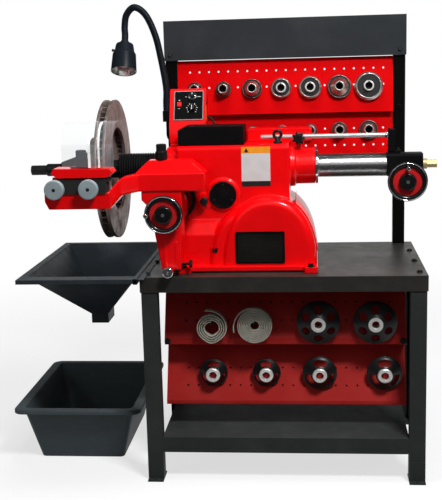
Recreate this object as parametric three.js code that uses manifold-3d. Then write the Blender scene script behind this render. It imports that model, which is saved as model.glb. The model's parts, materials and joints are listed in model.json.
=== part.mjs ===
// Brake lathe for vehicle discs on its steel bench, with tool boards, chip hopper and chip tub.
// Millimetres, +X right, +Y away from the operator, +Z up. While it is built, the origin is the centre of
// the bench's footprint on the floor; the finished model stands with its origin at the middle of its base.
import * as THREE from 'three';
import { mergeVertices } from 'three/addons/utils/BufferGeometryUtils.js';
import Module from 'manifold-3d';

const wasm = await Module();
wasm.setup();

// Clearances and facet counts
const seat = 0.3;
const overrun = 5;
const weld = 1e-4;
const fuse = 0.5;
const sides = { large: 24, wheel: 16, round: 12, small: 8, hung: 10, peg: 4, hex: 6, hole: 4 };

// Bench
const bench = { width: 910, depth: 596, height: 685, apron: 50, sheet: 3 };
const leg = { web: 52, flange: 40, sheet: 3, inset: 3.3, sleeveTop: 69, sleeveProud: 1.5, plate: 5, toe: 20, heel: 62 };
const shelf = { height: 148, rail: 52, sheet: 2, inset: 4 };
const post = { outer: 427, width: 42, front: 262, depth: 30, sheet: 3 };
const header = { side: 3, bottom: 1361, height: 140, front: 256, flange: 26, sheet: 2 };
const boltHead = { radius: 7, height: 5, edge: 22, spread: 180 };

// Peg boards: each step leans, with its lower edge forward; rows are measured down the slope
const board = { sheet: 2, pitch: 34.67, columns: 21, hole: 4, lip: 22 };
const upperBoard = {
  halfWidth: post.outer - post.width - seat, top: header.bottom - board.sheet, back: 272, lean: 24, drop: 194, stepGap: 4, hems: [0, 0],
  rows: [41, 98],
};
const lowerBoard = {
  halfWidth: 398, top: 631, back: -108, lean: 80, drop: 176, stepGap: 41, hems: [22, 14], rows: [73, 134],
  hangTop: bench.height - bench.sheet - seat,
};
const peg = { radius: 6, length: 62, root: 1, levelRoot: 4, stand: 2 };

// Centring cones and adaptors that hang on the pegs
const bore = { radius: 12.7, key: 3 };
const cone = { base: 9, nose: 20, length: 34 };
const coneRowTop = [56, 56, 71, 74, 82, 84, 101];
const coneRowLow = [43, 46, 49, 59, 68];
const coneSlots = { top: [0.5, 3.5, 6.5, 9.5, 12.5, 15.5, 18.5], low: [6.5, 9.5, 12.5, 15.5, 18.5] };
const cup = { rim: 9, wall: 6, depth: 42, hub: 25, hubProud: 10, windows: 3, windowShare: 0.33 };
const disc = { diameter: 142, rim: 12, depth: 24, windows: 6, windowRadius: 13.5, windowCircle: 46 };
const cupRow = [
  { slot: 3, diameter: 95 },
  { slot: 8, diameter: 95 },
  { slot: 13, diameter: 114 },
  { slot: 19, diameter: 116 },
];
const discSlots = [13, 18];
const band = { thickness: 3.2, width: 26, stepsPerLoop: 12, boardGap: 1.5 };
const looseBand = { inner: 34, pitch: 4.4, loops: 4.5, slot: 3 };
const rolledBand = { inner: 16, pitch: 5, loops: 8, slot: 7 };

// Chip hopper and chip tub
const hopper = {
  left: -848, right: -434, front: -340, back: 333, rimInset: 26, rightInset: 34, sheet: 2.5, lip: 14,
  spoutLeft: -670, spoutRight: -616, spoutFront: -50, spoutBack: 50, spoutTop: 505, spoutBottom: 472,
  hook: 9, hookReach: 7, hookHeight: 5, hookPlaces: [-250, -55],
};
const tub = {
  left: -938, right: -469, front: -181, back: 406, height: 195, lipWidth: 38, lipDrop: 13, wall: 4,
  taper: 38, corner: 46, cornerSteps: 3, floor: 5,
};

// Spindle line
const axis = { y: -80, z: 1011 };
const spindle = { nose: 24, noseLeft: -505, barrel: 38, barrelLeft: -100, barrelRight: 338, stub: 20, stubRight: 451 };
const arbor = { radius: 12.7, left: -833, washer: 17, washerWidth: 15, hex: 14, hexWidth: 32 };
const runningGap = 0.35;
const nut = { left: -845, hex: 18, hexWidth: 54, collar: 21, right: -741 };
const hub = { coneSmall: 27, coneLarge: 58, bell: 72, bellDepth: 26, neck: 36, waist: 30 };
const rotor = {
  right: -547, plate: 10, slot: 17, outer: 229, inner: 138, hat: 106, hatWall: 8, hatDepth: 48, hatFloor: 9,
  throat: 14, hole: 34, vanes: 24, vaneWidth: 6, vaneMargin: 5,
};
const boot = { crest: 36, root: 30, wall: 2, ribs: 12 };

// Main housing
const housing = {
  left: -340, right: 24, front: -160, back: 60, top: 1089, waist: 880, fillet: 12, wall: 12,
  bossRadius: 70, bossLeft: -381, flangeRadius: 66, flangeRight: 43, collarRadius: 58.5, collarRight: 108,
  bushBore: 50, lowerFront: -185, lowerBack: 120, lowerTaper: 50,
};
const base = { left: -340, right: 113, front: -232, back: 152, bottom: 690, top: 705, foot: 45, footReach: 20, footLength: 82 };
const dome = { centre: -42, halfWidth: 153, height: 233, power: 2.3, front: -216, back: 126, round: 26, wall: 9, steps: 16 };
const crossBoss = { x: -344, z: 917, radius: 66, back: 40 };
const barLug = { halfWidth: 27, top: 738, front: -212 };
const gearCover = { x: -192, z: 929, ring: 48, ringProud: 6, radius: 44, thickness: 6, screw: 4, screwCircle: 34 };
const engageKnob = { x: -253, z: 911, lobe: 20, lobeProud: 5, radius: 13, stem: 5, reach: 24, length: 22, hole: 30 };
const drain = { x: -215, z: 752, lobe: 20, proud: 8, radius: 10, head: 7 };
const grille = { left: -151, right: 8, bottom: 711, top: 816, sheet: 3, frame: 14, columns: 6, rows: 4, share: 0.6 };
const strip = { front: -170, back: -60, thickness: 4, fromShare: 0.05, toShare: 0.36, steps: 9, top: 924 };
const seal = { radius: 60, width: 9 };
const rodBoss = { left: 44, right: 64, depth: 36, bottom: 1058, top: 1118 };
const rod = { z: 1107, radius: 7, left: -70 };
const bracket = { left: 343, right: 365, depth: 32, top: 1127, foot: 40, footHeight: 8 };
const star = { x: 54, z: 1104, radius: 18, lobes: 7, lobeShare: 0.3, thickness: 20, gap: 6, stem: 4 };
const switchCover = { left: -336, right: -122, front: -150, back: -25, top: 1150, chamferX: 21, chamferZ: 11, wall: 4, gate: 36, gateTop: 1126 };
const topCover = { left: -118, right: 97, front: -30, back: 58, top: 1131, fillet: 10 };
const eye = { x: -14, y: -112, foot: 15, centre: 28, ring: 17, hole: 9, thickness: 11 };

// Drive inside the housing
const motor = { y: -60, z: 786, radius: 70, left: -140, right: -34, shaft: 9, foot: 60, footWidth: 90 };
const pulley = { left: -24, right: 2, radius: 32, groove: 6 };
const sleeve = { left: -26, right: 4, radius: 58, hub: 48, hubLeft: -60 };
const belt = { thickness: 6, width: 14, steps: 10 };

// Feed head and its handwheel
const feedHead = { left: 338, right: 453, back: -42, front: -118, bottom: 975, top: 1048, fillet: 10, lug: 52, lugDrop: 46 };
const feedWheel = { x: 401, z: 962, radius: 64, rim: 9, hub: 28, hubLength: 52, web: 5, spokeInset: 11, shaft: 9, reach: 36, socket: 26 };
const grip = { radius: 8, neck: 5, length: 24, pin: 3, pinDepth: 14, pinSides: 6 };
const feedGrip = { circle: 44, angle: 90 };

// Cross slide
const saddle = {
  left: -439, right: -312, front: -290, back: -205, top: 959.7, blockBottom: 905, stepLeft: -406, stepZ: 932,
  kneeLeft: -401, kneeZ: 824, footLeft: -382, footRight: -321, footZ: 707, footFront: -288, footBack: -215,
  rib: 8, ribDepth: 3,
};
const ram = { radius: 38, back: 20 };
const bootFlange = { x: -364, z: 897, radius: 61, front: -221, back: -190 };
const crossBoot = { crest: 64, root: 55, wall: 2.5, ribs: 4 };
const guideBar = { x: -358, z: 706, radius: 17, front: -331, back: -160, chamfer: 2 };
const crossWheel = { x: -366, z: 890, radius: 59, rim: 8.5, hub: 29, hubLength: 46, web: 5, spokeInset: 10, shaft: 9, reach: 30, socket: 26 };
const crossGrip = { circle: 52, angle: 180 };

// Cutter arm, tool bars and clamp
const arm = {
  left: -459, right: -235, front: -295, back: -205, bottom: 960, ridge: 1014, top: 1055,
  topLeft: -416, topRight: -281, topFront: -262, topBack: -218,
};
const armNeck = { startX: -445, middleX: -490, middleFront: -350, middleBack: -272, middleBottom: 956, middleTop: 1010 };
const jaw = { left: -719, right: -514, front: -402, back: -345, bottom: 922, top: 972, bevel: 12 };
const armNut = { x: -376, y: -248, radius: 16.5, neck: 13, height: 50, stud: 9 };
const toolBar = { leftX: -681, rightX: -576, z: 986, barrel: 18, front: -404, back: -348, shank: 8, tip: -321, tipReach: 7, tipLength: 9 };
const micrometer = { radius: 30, front: -436, back: -411, neck: 17, stem: 5.5, stemFront: -428 };
const plate = { left: -697, right: -505, front: -398, back: -332, bottom: 1018, top: 1047, endRise: 14, endInset: 18, pad: 15 };
const clampNut = { x: -608, y: -360, radius: 16.5, neck: 14, height: 50, stud: 8 };
const guard = { left: -663, right: -503, front: -384, sheet: 2.5, bend: 82, bendZ: 1100, back: -254, footLeft: -640, footRight: -578, steps: 8 };

// Control box and lamp
const control = {
  left: -381, right: -258, front: -20, back: 55, knee: 1148, top: 1266, topFront: 36, topBack: 80, shoulder: 1200,
  ear: 1046,
};
const facePlate = { left: -366, right: -270, low: 22, high: 123, sheet: 2 };
const speedKnob = { x: -305, up: 105, skirt: 15, skirtHeight: 4, knob: 9, knobHeight: 14, stem: 3 };
const feedDial = { x: -306, up: 61, radius: 11, height: 12, pointer: 3, stem: 3 };
const rocker = { x: -348, up: 74, width: 17, height: 18, frame: 2.5, well: 5, rise: 4, tilt: 7 };
const lampClamp = { left: -405, front: 0, back: 30, bottom: 1159, top: 1196 };
const neck = { radius: 11.5, steps: 30, sides: 8 };
const neckRoute = [
  [-393, 15, 1196.3], [-393, 15, 1222], [-392, 15, 1278], [-406, 13, 1372], [-422, 10, 1448], [-451, 6, 1514],
  [-488, 8, 1541], [-517, 16, 1516], [-525, 18, 1478], [-524, 13.3, 1450.9], [-524, 4.1, 1430.3],
];
const head = { tilt: 0.42, neck: 14, shoulder: 29, waist: 34, cup: 39, mouth: 43, wall: 2.5 };
const headSteps = { neck: 9, shoulder: 13, waist: 40, cup: 48, mouth: 108 };
const lampSwitch = { drop: 32, radius: 5, reach: 9, stem: 3 };
const cable = { radius: 3.4, sides: 8, steps: 9 };
const lampCableRoute = [[-393, 15, 1158.7], [-393, 15, 1135], [-393, 15, 1114], [-391, 15, 1105], [-387, 15, 1101], [-381.4, 15, 1101]];
const controlCableRoute = [[-257.6, 22, 1171], [-251, 22, 1171], [-244, 22, 1168], [-236, 22, 1156], [-222, 22, 1132], [-214, 22, 1106], [-212, 22, 1089.4]];

// Colours
const paints = {
  red: [0xd0080c, 0.25, 0.1], bench: [0x202326, 0.5, 0.3], header: [0x2a3238, 0.5, 0.3], panel: [0xb01010, 0.4, 0.2],
  black: [0x101010, 0.45, 0.2], rubber: [0x0c0c0c, 0.8, 0], chrome: [0xc8ccd0, 0.15, 1], steel: [0xb4b6b8, 0.25, 1],
  iron: [0x6d6460, 0.4, 0.9], aluminium: [0x9aa0a0, 0.4, 0.9], brass: [0xa58f52, 0.35, 0.9], clear: [0xe6eef0, 0.05, 0],
  tub: [0x2a3036, 0.6, 0], strap: [0xb9b9a8, 0.8, 0], castIron: [0x2c2c2e, 0.6, 0.6],
};

const group = new THREE.Group();

// Turns a closed three.js geometry into a solid with its faces pointing out
function toSolid(geometry) {
  const bare = geometry.clone();
  bare.deleteAttribute('normal');
  bare.deleteAttribute('uv');
  const merged = mergeVertices(bare.index ? bare : mergeVertices(bare, weld), weld);
  const places = merged.attributes.position.array;
  const index = merged.index.array;
  const kept = [];
  for (let i = 0; i < index.length; i += 3) {
    const [a, b, c] = [index[i], index[i + 1], index[i + 2]];
    if (a !== b && b !== c && a !== c) kept.push(a, b, c);
  }
  const corner = (i) => new THREE.Vector3().fromArray(places, i * 3);
  let volume = 0;
  for (let i = 0; i < kept.length; i += 3) {
    volume += corner(kept[i]).dot(corner(kept[i + 1]).cross(corner(kept[i + 2])));
  }
  if (volume < 0) kept.reverse();
  const mesh = new wasm.Mesh({ numProp: 3, vertProperties: new Float32Array(places), triVerts: new Uint32Array(kept) });
  return new wasm.Manifold(mesh);
}

// Adds the finished solid to the model as a named mesh
function part(name, paint, solid) {
  const mesh = solid.getMesh();
  const geometry = new THREE.BufferGeometry();
  geometry.setAttribute('position', new THREE.BufferAttribute(new Float32Array(mesh.vertProperties), 3));
  geometry.setIndex(new THREE.BufferAttribute(new Uint32Array(mesh.triVerts), 1));
  geometry.computeVertexNormals();
  const [color, roughness, metalness] = paints[paint];
  const piece = new THREE.Mesh(geometry, new THREE.MeshStandardMaterial({ color, roughness, metalness }));
  piece.name = name;
  group.add(piece);
}

// Radius of a faceted bore whose flats clear a round shaft
const around = (radius, count) => (radius + runningGap) / Math.cos(Math.PI / count);

const join = (...solids) => solids.flat().reduce((whole, next) => whole.add(next));
const cut = (solid, ...tools) => tools.flat().reduce((whole, tool) => whole.subtract(tool), solid);

// A block between two places on each axis
function block([x0, x1], [y0, y1], [z0, z1]) {
  const geometry = new THREE.BoxGeometry(x1 - x0, y1 - y0, z1 - z0);
  return toSolid(geometry.translate((x0 + x1) / 2, (y0 + y1) / 2, (z0 + z1) / 2));
}

// Matrices that lay a shape's own X, Y and Z along the model's axes
const lay = {
  x: new THREE.Matrix4().makeBasis(new THREE.Vector3(0, 1, 0), new THREE.Vector3(0, 0, 1), new THREE.Vector3(1, 0, 0)),
  y: new THREE.Matrix4().makeBasis(new THREE.Vector3(1, 0, 0), new THREE.Vector3(0, 0, 1), new THREE.Vector3(0, -1, 0)),
  z: new THREE.Matrix4(),
};

// An outline carried along an axis: [y, z] points along x, [x, z] points along y, [x, y] points along z
function prism(along, outline, [from, to], holes = []) {
  const shape = new THREE.Shape(outline.map(([u, v]) => new THREE.Vector2(u, v)));
  shape.holes = holes.map((hole) => new THREE.Path(hole.map(([u, v]) => new THREE.Vector2(u, v))));
  const geometry = new THREE.ExtrudeGeometry(shape, { depth: to - from, bevelEnabled: false });
  geometry.applyMatrix4(lay[along]);
  if (along === 'x') geometry.translate(from, 0, 0);
  if (along === 'y') geometry.translate(0, to, 0);
  if (along === 'z') geometry.translate(0, 0, from);
  return toSolid(geometry);
}

// A round bar along an axis; its centre is given on the other two axes in X, Y, Z order
function bar(along, radius, [from, to], [u, v], count = sides.round) {
  return turned(along, [[from, 0], [from, radius], [to, radius], [to, 0]], [u, v], count);
}

// A profile of [place along the axis, radius] points turned about that axis
function turned(along, profile, [u, v], count = sides.round) {
  const closes = profile[0][1] > 0;
  const points = profile.map(([place, radius]) => new THREE.Vector2(radius, place));
  if (closes) points.push(points[0].clone());
  const geometry = new THREE.LatheGeometry(points, count);
  if (along === 'x') geometry.applyMatrix4(new THREE.Matrix4().makeRotationZ(-Math.PI / 2)).translate(0, u, v);
  if (along === 'y') geometry.translate(u, 0, v);
  if (along === 'z') geometry.applyMatrix4(new THREE.Matrix4().makeRotationX(Math.PI / 2)).translate(u, v, 0);
  return toSolid(geometry);
}

// A skin through rings of equally many points, closed with a fan at each end
function loft(rings) {
  const count = rings[0].length;
  const places = rings.flat(2);
  const index = [];
  for (let r = 0; r + 1 < rings.length; r += 1) {
    for (let i = 0; i < count; i += 1) {
      const [a, b] = [r * count + i, r * count + ((i + 1) % count)];
      index.push(a, b, b + count, a, b + count, a + count);
    }
  }
  const last = (rings.length - 1) * count;
  for (let i = 1; i + 1 < count; i += 1) {
    index.push(0, i + 1, i, last, last + i, last + i + 1);
  }
  const geometry = new THREE.BufferGeometry();
  geometry.setAttribute('position', new THREE.Float32BufferAttribute(places, 3));
  geometry.setIndex(index);
  return toSolid(geometry);
}

// A round tube along a smooth route
function tube(route, radius, steps, count = sides.small) {
  const curve = new THREE.CatmullRomCurve3(route.map((place) => new THREE.Vector3(...place)));
  const circle = new THREE.Shape(ring(radius, count).map(([x, y]) => new THREE.Vector2(x, y)));
  return toSolid(new THREE.ExtrudeGeometry(circle, { steps, extrudePath: curve, bevelEnabled: false }));
}

// Points of a regular polygon or circle about a centre
function ring(radius, count, [u, v] = [0, 0], turn = 0) {
  return Array.from({ length: count }, (_, i) => {
    const angle = turn + (i / count) * 2 * Math.PI;
    return [u + radius * Math.cos(angle), v + radius * Math.sin(angle)];
  });
}

// Corners of a rectangle
const rectangle = ([u0, u1], [v0, v1]) => [[u0, v0], [u1, v0], [u1, v1], [u0, v1]];

// A rectangle whose corners are rounded by arcs
function rounded([u0, u1], [v0, v1], radius, steps = 3) {
  const centres = [[u1 - radius, v1 - radius], [u0 + radius, v1 - radius], [u0 + radius, v0 + radius], [u1 - radius, v0 + radius]];
  return centres.flatMap(([u, v], corner) => Array.from({ length: steps + 1 }, (_, i) => {
    const angle = ((corner + i / steps) * Math.PI) / 2;
    return [u + radius * Math.cos(angle), v + radius * Math.sin(angle)];
  }));
}

const mirrored = ([a, b]) => [-b, -a];
const raise = (outline, z) => outline.map(([x, y]) => [x, y, z]);

// Bench top, legs and shelf
const apronRange = { x: [-bench.width / 2, bench.width / 2], y: [-bench.depth / 2, bench.depth / 2] };

function pan({ x, y }, top, drop, sheet) {
  const inside = [[x[0] + sheet, x[1] - sheet], [y[0] + sheet, y[1] - sheet], [top - drop - overrun, top - sheet]];
  return cut(block(x, y, [top - drop, top]), block(...inside));
}

function makeBench() {
  const boltX = bench.width / 2 - boltHead.edge;
  const bolts = [-1, 0, 1].map((row) => bar('z', boltHead.radius, [bench.height - fuse, bench.height + boltHead.height],
    [boltX, row * boltHead.spread - boltHead.spread / 3], sides.hex));
  part('bench_top', 'bench', join(pan(apronRange, bench.height, bench.apron, bench.sheet), bolts));
  const reach = { x: bench.width / 2 - leg.inset - leg.web + fuse, y: bench.depth / 2 - shelf.inset };
  const shelfRange = { x: [-reach.x, reach.x], y: [-reach.y, reach.y] };
  const legs = [-1, 1].flatMap((sideX) => [-1, 1].map((sideY) => oneLeg(sideX, sideY)));
  part('bench_frame', 'bench', join(legs, pan(shelfRange, shelf.height, shelf.rail, shelf.sheet)));
}

// A channel leg with a sleeve and an out-turned foot plate
function oneLeg(sideX, sideY) {
  const outerX = bench.width / 2 - leg.inset;
  const outerY = bench.depth / 2 - leg.inset;
  const x = sideX > 0 ? [outerX - leg.web, outerX] : [-outerX, -outerX + leg.web];
  const depth = (near, far) => (sideY > 0 ? [outerY - far, outerY - near] : [-outerY + near, -outerY + far]);
  const top = bench.height - bench.sheet - seat;
  const channel = cut(
    block(x, depth(0, leg.flange), [leg.plate - 1, top]),
    block([x[0] + leg.sheet, x[1] - leg.sheet], depth(leg.sheet, leg.flange + overrun), [leg.plate + leg.sheet, top + overrun]),
  );
  const sleeveX = [x[0], x[1]];
  const sleeve = block(sleeveX, depth(-leg.sleeveProud, leg.sheet), [leg.plate - 1, leg.sleeveTop]);
  const foot = block(x, depth(-leg.toe, leg.heel), [0, leg.plate]);
  const holeY = depth(-leg.toe / 2, -leg.toe / 2)[0];
  const hole = bar('z', leg.toe / 4, [-overrun, leg.plate + overrun], [(x[0] + x[1]) / 2, holeY], sides.peg);
  return cut(join(channel, sleeve, foot), hole);
}

// Frame of a board's step: origin at its upper edge, Z out of the board, Y up the slope
function stepFrame(shape, step) {
  const length = Math.hypot(shape.drop, shape.lean);
  const up = new THREE.Vector3(0, shape.lean, shape.drop).divideScalar(length);
  const right = new THREE.Vector3(1, 0, 0);
  const out = new THREE.Vector3().crossVectors(right, up);
  const top = new THREE.Vector3(0, shape.back, shape.top - step * (shape.drop + shape.stepGap));
  return new THREE.Matrix4().makeBasis(right, up, out).setPosition(top);
}

// A zigzag sheet of two leaning steps with a row pattern of peg holes
function pegBoard(shape, name, carried) {
  const front = shape.hangTop ? [[shape.back, shape.hangTop]] : [];
  for (const step of [0, 1]) {
    const z = shape.top - step * (shape.drop + shape.stepGap);
    front.push([shape.back, z], [shape.back - shape.lean, z - shape.drop]);
    if (shape.hems[step]) front.push([shape.back - shape.lean, z - shape.drop - shape.hems[step]]);
  }
  const [lipY, lipZ] = front.at(-1);
  const lip = [[lipY + board.lip, lipZ], [lipY + board.lip, lipZ + board.sheet]];
  const back = front.toReversed().map(([y, z]) => [y + board.sheet, Math.min(z + board.sheet / 2, shape.hangTop ?? z + board.sheet / 2)]);
  const sheet = prism('x', [...front, ...lip, ...back], [-shape.halfWidth, shape.halfWidth]);
  const holes = [];
  for (const step of [0, 1]) {
    const frame = stepFrame(shape, step);
    for (const row of shape.rows) {
      for (let column = 0; column < board.columns; column += 1) {
        const x = (column - (board.columns - 1) / 2) * board.pitch;
        const hole = new THREE.CylinderGeometry(board.hole, board.hole, board.sheet * 4, sides.hole);
        hole.rotateX(Math.PI / 2).translate(x, -row, 0).applyMatrix4(frame);
        holes.push(toSolid(hole));
      }
    }
  }
  part(name, 'panel', join(cut(sheet, holes.slice(0, 1)), carried));
}

// Where a piece with a bore hangs on the peg at a slot of the board
function hangFrame(shape, step, row, slot, sink = 0) {
  const x = (slot - (board.columns - 1) / 2) * board.pitch;
  return stepFrame(shape, step).multiply(new THREE.Matrix4().makeTranslation(x, -row - sink, 0));
}

// A profile of [height above the board, radius] turned about the peg
function hung(profile, frame, count = sides.hung) {
  const points = profile.map(([height, radius]) => new THREE.Vector2(radius, height));
  if (profile[0][1] > 0) points.push(points[0].clone());
  const geometry = new THREE.LatheGeometry(points, count).rotateX(Math.PI / 2);
  return toSolid(geometry.applyMatrix4(frame));
}

// The same on a level peg: the piece hangs upright, its lowest back edge clear of the leaning board
function levelFrame(shape, step, row, slot, sink = 0, outer = -sink) {
  const place = new THREE.Vector3().setFromMatrixPosition(hangFrame(shape, step, row, slot));
  const clear = ((sink + outer) * shape.lean) / shape.drop;
  const [right, up, out] = [new THREE.Vector3(1, 0, 0), new THREE.Vector3(0, 0, 1), new THREE.Vector3(0, -1, 0)];
  return new THREE.Matrix4().makeBasis(right, up, out).setPosition(place.x, place.y - clear, place.z - sink);
}

// A peg in a frame at its slot
function pegIn(frame, root) {
  return hung([[-root, 0], [-root, peg.radius], [peg.length, peg.radius], [peg.length, 0]], frame, sides.peg);
}

const boreSink = bore.radius - peg.radius + fuse;

// A centring cone: broad base to the board, nose forward
function centringCone(diameter, frame) {
  const outer = diameter / 2;
  const nose = Math.max(outer * 0.62, bore.radius + bore.key);
  return hung([[peg.stand, bore.radius], [peg.stand, outer], [peg.stand + cone.base, outer],
    [peg.stand + cone.length, nose], [peg.stand + cone.length, bore.radius]], frame);
}

// Round windows through a piece on a peg, on a circle about its bore
function windowTools(count, radius, circle, depth, frame) {
  return ring(circle, count, [0, 0], Math.PI / 2).map(([x, y]) => {
    const tool = new THREE.CylinderGeometry(radius, radius, depth * 4, sides.peg + 1);
    return toSolid(tool.rotateX(Math.PI / 2).translate(x, y, 0).applyMatrix4(frame));
  });
}

// A cup adaptor: a rim to the board, a conical shell with windows and a hub in front
function cupAdaptor(diameter, frame) {
  const outer = diameter / 2;
  const slopeEnd = cup.depth - cup.hubProud;
  const shell = hung([[peg.stand, outer - cup.wall], [peg.stand, outer], [peg.stand + cup.rim, outer],
    [slopeEnd, cup.hub], [cup.depth, cup.hub], [cup.depth, bore.radius], [slopeEnd - cup.wall, bore.radius]], frame);
  return cut(shell, windowTools(cup.windows, (outer - cup.hub) * cup.windowShare, (outer + cup.hub) / 2, cup.depth, frame));
}

// A disc adaptor: a tapered plate with round windows about a hub
function discAdaptor(frame) {
  const outer = disc.diameter / 2;
  const body = hung([[peg.stand, bore.radius], [peg.stand, outer], [peg.stand + disc.rim, outer],
    [disc.depth, cup.hub], [disc.depth, bore.radius]], frame);
  return cut(body, windowTools(disc.windows, disc.windowRadius, disc.windowCircle, disc.depth, frame));
}

// A flat strap wound in one unbroken spiral, lying on its edge on the peg
function strapCoil(shape, frame, label) {
  const steps = Math.round(shape.loops * band.stepsPerLoop);
  const centre = [];
  const rings = [];
  for (let i = 0; i <= steps; i += 1) {
    const angle = Math.PI / 2 + (i / band.stepsPerLoop) * 2 * Math.PI;
    const radius = shape.inner + (i / band.stepsPerLoop) * shape.pitch;
    centre.push(new THREE.Vector2(radius * Math.cos(angle), radius * Math.sin(angle)));
    rings.push([[radius, 0], [radius + band.thickness, 0], [radius + band.thickness, band.width], [radius, band.width]]
      .map(([r, h]) => {
        const place = new THREE.Vector3(r * Math.cos(angle), r * Math.sin(angle), h + band.boardGap);
        return place.applyMatrix4(frame).toArray();
      }));
  }
  let least = Infinity;
  for (let i = 0; i + band.stepsPerLoop <= steps; i += 1) {
    for (let j = i + band.stepsPerLoop - 2; j <= Math.min(i + band.stepsPerLoop + 2, steps); j += 1) {
      const between = centre[i].distanceTo(centre[j]) - band.thickness;
      least = Math.min(least, between);
    }
  }
  console.log(`${label}: ${shape.loops} loops, least gap to itself ${least.toFixed(2)} mm`);
  return loft(rings);
}

function makeBoards() {
  const above = [];
  const below = [];
  const row = upperBoard.rows[1];
  const sets = [[0, coneSlots.top, coneRowTop, row], [1, coneSlots.low, coneRowLow, upperBoard.rows[0] + 2]];
  for (const [step, slots, sizes, down] of sets) {
    slots.forEach((slot, i) => {
      above.push(pegIn(hangFrame(upperBoard, step, down, slot), peg.root));
      above.push(centringCone(sizes[i], hangFrame(upperBoard, step, down, slot, boreSink)));
    });
  }
  cupRow.forEach(({ slot, diameter }) => {
    below.push(pegIn(levelFrame(lowerBoard, 1, lowerBoard.rows[0], slot), peg.levelRoot));
    below.push(cupAdaptor(diameter, levelFrame(lowerBoard, 1, lowerBoard.rows[0], slot, boreSink, diameter / 2)));
  });
  discSlots.forEach((slot) => {
    below.push(pegIn(levelFrame(lowerBoard, 0, lowerBoard.rows[1], slot), peg.levelRoot));
    below.push(discAdaptor(levelFrame(lowerBoard, 0, lowerBoard.rows[1], slot, boreSink, disc.diameter / 2)));
  });
  for (const [shape, name] of [[looseBand, 'loose_band'], [rolledBand, 'rolled_band']]) {
    below.push(pegIn(levelFrame(lowerBoard, 0, lowerBoard.rows[1], shape.slot), peg.levelRoot));
    const sink = shape.inner - peg.radius - seat;
    const outer = shape.inner + shape.loops * shape.pitch + band.thickness;
    const frame = levelFrame(lowerBoard, 0, lowerBoard.rows[1], shape.slot, sink, outer);
    part(name, 'strap', strapCoil(shape, frame, name));
  }
  pegBoard(upperBoard, 'upper_peg_board', above);
  pegBoard(lowerBoard, 'lower_peg_board', below);
}

function makeBack() {
  const headerTop = header.bottom + header.height;
  const headerHalf = post.outer + header.side;
  const top = headerTop - header.sheet + fuse;
  const posts = [-1, 1].map((side) => {
    const x = side > 0 ? [post.outer - post.width, post.outer] : [-post.outer, -post.outer + post.width];
    const y = [post.front, post.front + post.depth];
    const bottom = bench.height + seat;
    const inner = [[x[0] + post.sheet, x[1] - post.sheet], [y[0] + post.sheet, y[1] - post.sheet], [bottom - overrun, top + overrun]];
    return cut(block(x, y, [bottom, top]), block(...inner));
  });
  const x = [-headerHalf, headerHalf];
  const y = [header.front, header.front + header.flange];
  const shell = block(x, y, [header.bottom, headerTop]);
  const inside = [[x[0] + header.sheet, x[1] - header.sheet], [y[0] + header.sheet, y[1] + overrun]];
  const cavity = block(...inside, [header.bottom - overrun, headerTop - header.sheet]);
  const screws = [-1, 1].flatMap((side) => [
    bar('y', boltHead.radius, [header.front - boltHead.height, header.front + fuse],
      [side * (headerHalf - boltHead.edge), header.bottom + boltHead.edge], sides.hex),
    bar('y', boltHead.radius, [post.front - boltHead.height, post.front + fuse],
      [side * (post.outer - post.width / 2), header.bottom - boltHead.spread], sides.hex),
  ]);
  part('back_frame', 'header', join(cut(shell, cavity), posts, screws));
}

function makeEye() {
  const foot = housing.top + seat;
  const eyeZ = foot + eye.centre;
  const body = join(
    bar('z', eye.foot, [foot, eyeZ - eye.ring + eye.thickness / 3], [eye.x, eye.y], sides.small),
    bar('y', eye.ring, [eye.y - eye.thickness / 2, eye.y + eye.thickness / 2], [eye.x, eyeZ], sides.round),
  );
  const hole = bar('y', eye.hole, [eye.y - eye.thickness, eye.y + eye.thickness], [eye.x, eyeZ], sides.small);
  part('lifting_eye', 'black', cut(body, hole));
}

// Hopper: a rim that lies on the bench's end, a funnel and a spout
function makeHopper() {
  const rimBottom = bench.height + seat;
  const rimTop = rimBottom + hopper.sheet;
  const outer = [[hopper.left, hopper.right], [hopper.front, hopper.back]];
  const inner = [[hopper.left + hopper.rimInset, hopper.right - hopper.rightInset],
    [hopper.front + hopper.rimInset * 2, hopper.back - hopper.rimInset]];
  const grow = ([[x0, x1], [y0, y1]], by) => [[x0 - by, x1 + by], [y0 - by, y1 + by]];
  const spout = [[hopper.spoutLeft, hopper.spoutRight], [hopper.spoutFront, hopper.spoutBack]];
  const funnel = (by, top, bottom) => loft([
    raise(rectangle(...grow(spout, by)), bottom), raise(rectangle(...grow(spout, by)), hopper.spoutTop),
    raise(rectangle(...grow(inner, by)), rimBottom), raise(rectangle(...grow(inner, by)), top),
  ]);
  const rim = block(outer[0], outer[1], [rimBottom, rimTop]);
  const lipX = [hopper.left, -bench.width / 2 - seat * 2];
  const lip = cut(
    block(lipX, outer[1], [rimTop - hopper.lip, rimTop]),
    block([hopper.left + hopper.sheet, lipX[1] + overrun], [hopper.front + hopper.sheet, hopper.back - hopper.sheet],
      [rimTop - hopper.lip - overrun, rimBottom]),
  );
  const hooks = hopper.hookPlaces.map((y) => block(
    [hopper.right - hopper.hookReach, hopper.right + hopper.hookReach], [y, y + hopper.hook],
    [rimBottom, rimTop + hopper.hookHeight],
  ));
  const shell = join(rim, lip, hooks, funnel(hopper.sheet, rimTop, hopper.spoutBottom));
  part('chip_hopper', 'bench', cut(shell, funnel(0, rimTop + overrun, hopper.spoutBottom - overrun)));
}

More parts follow.
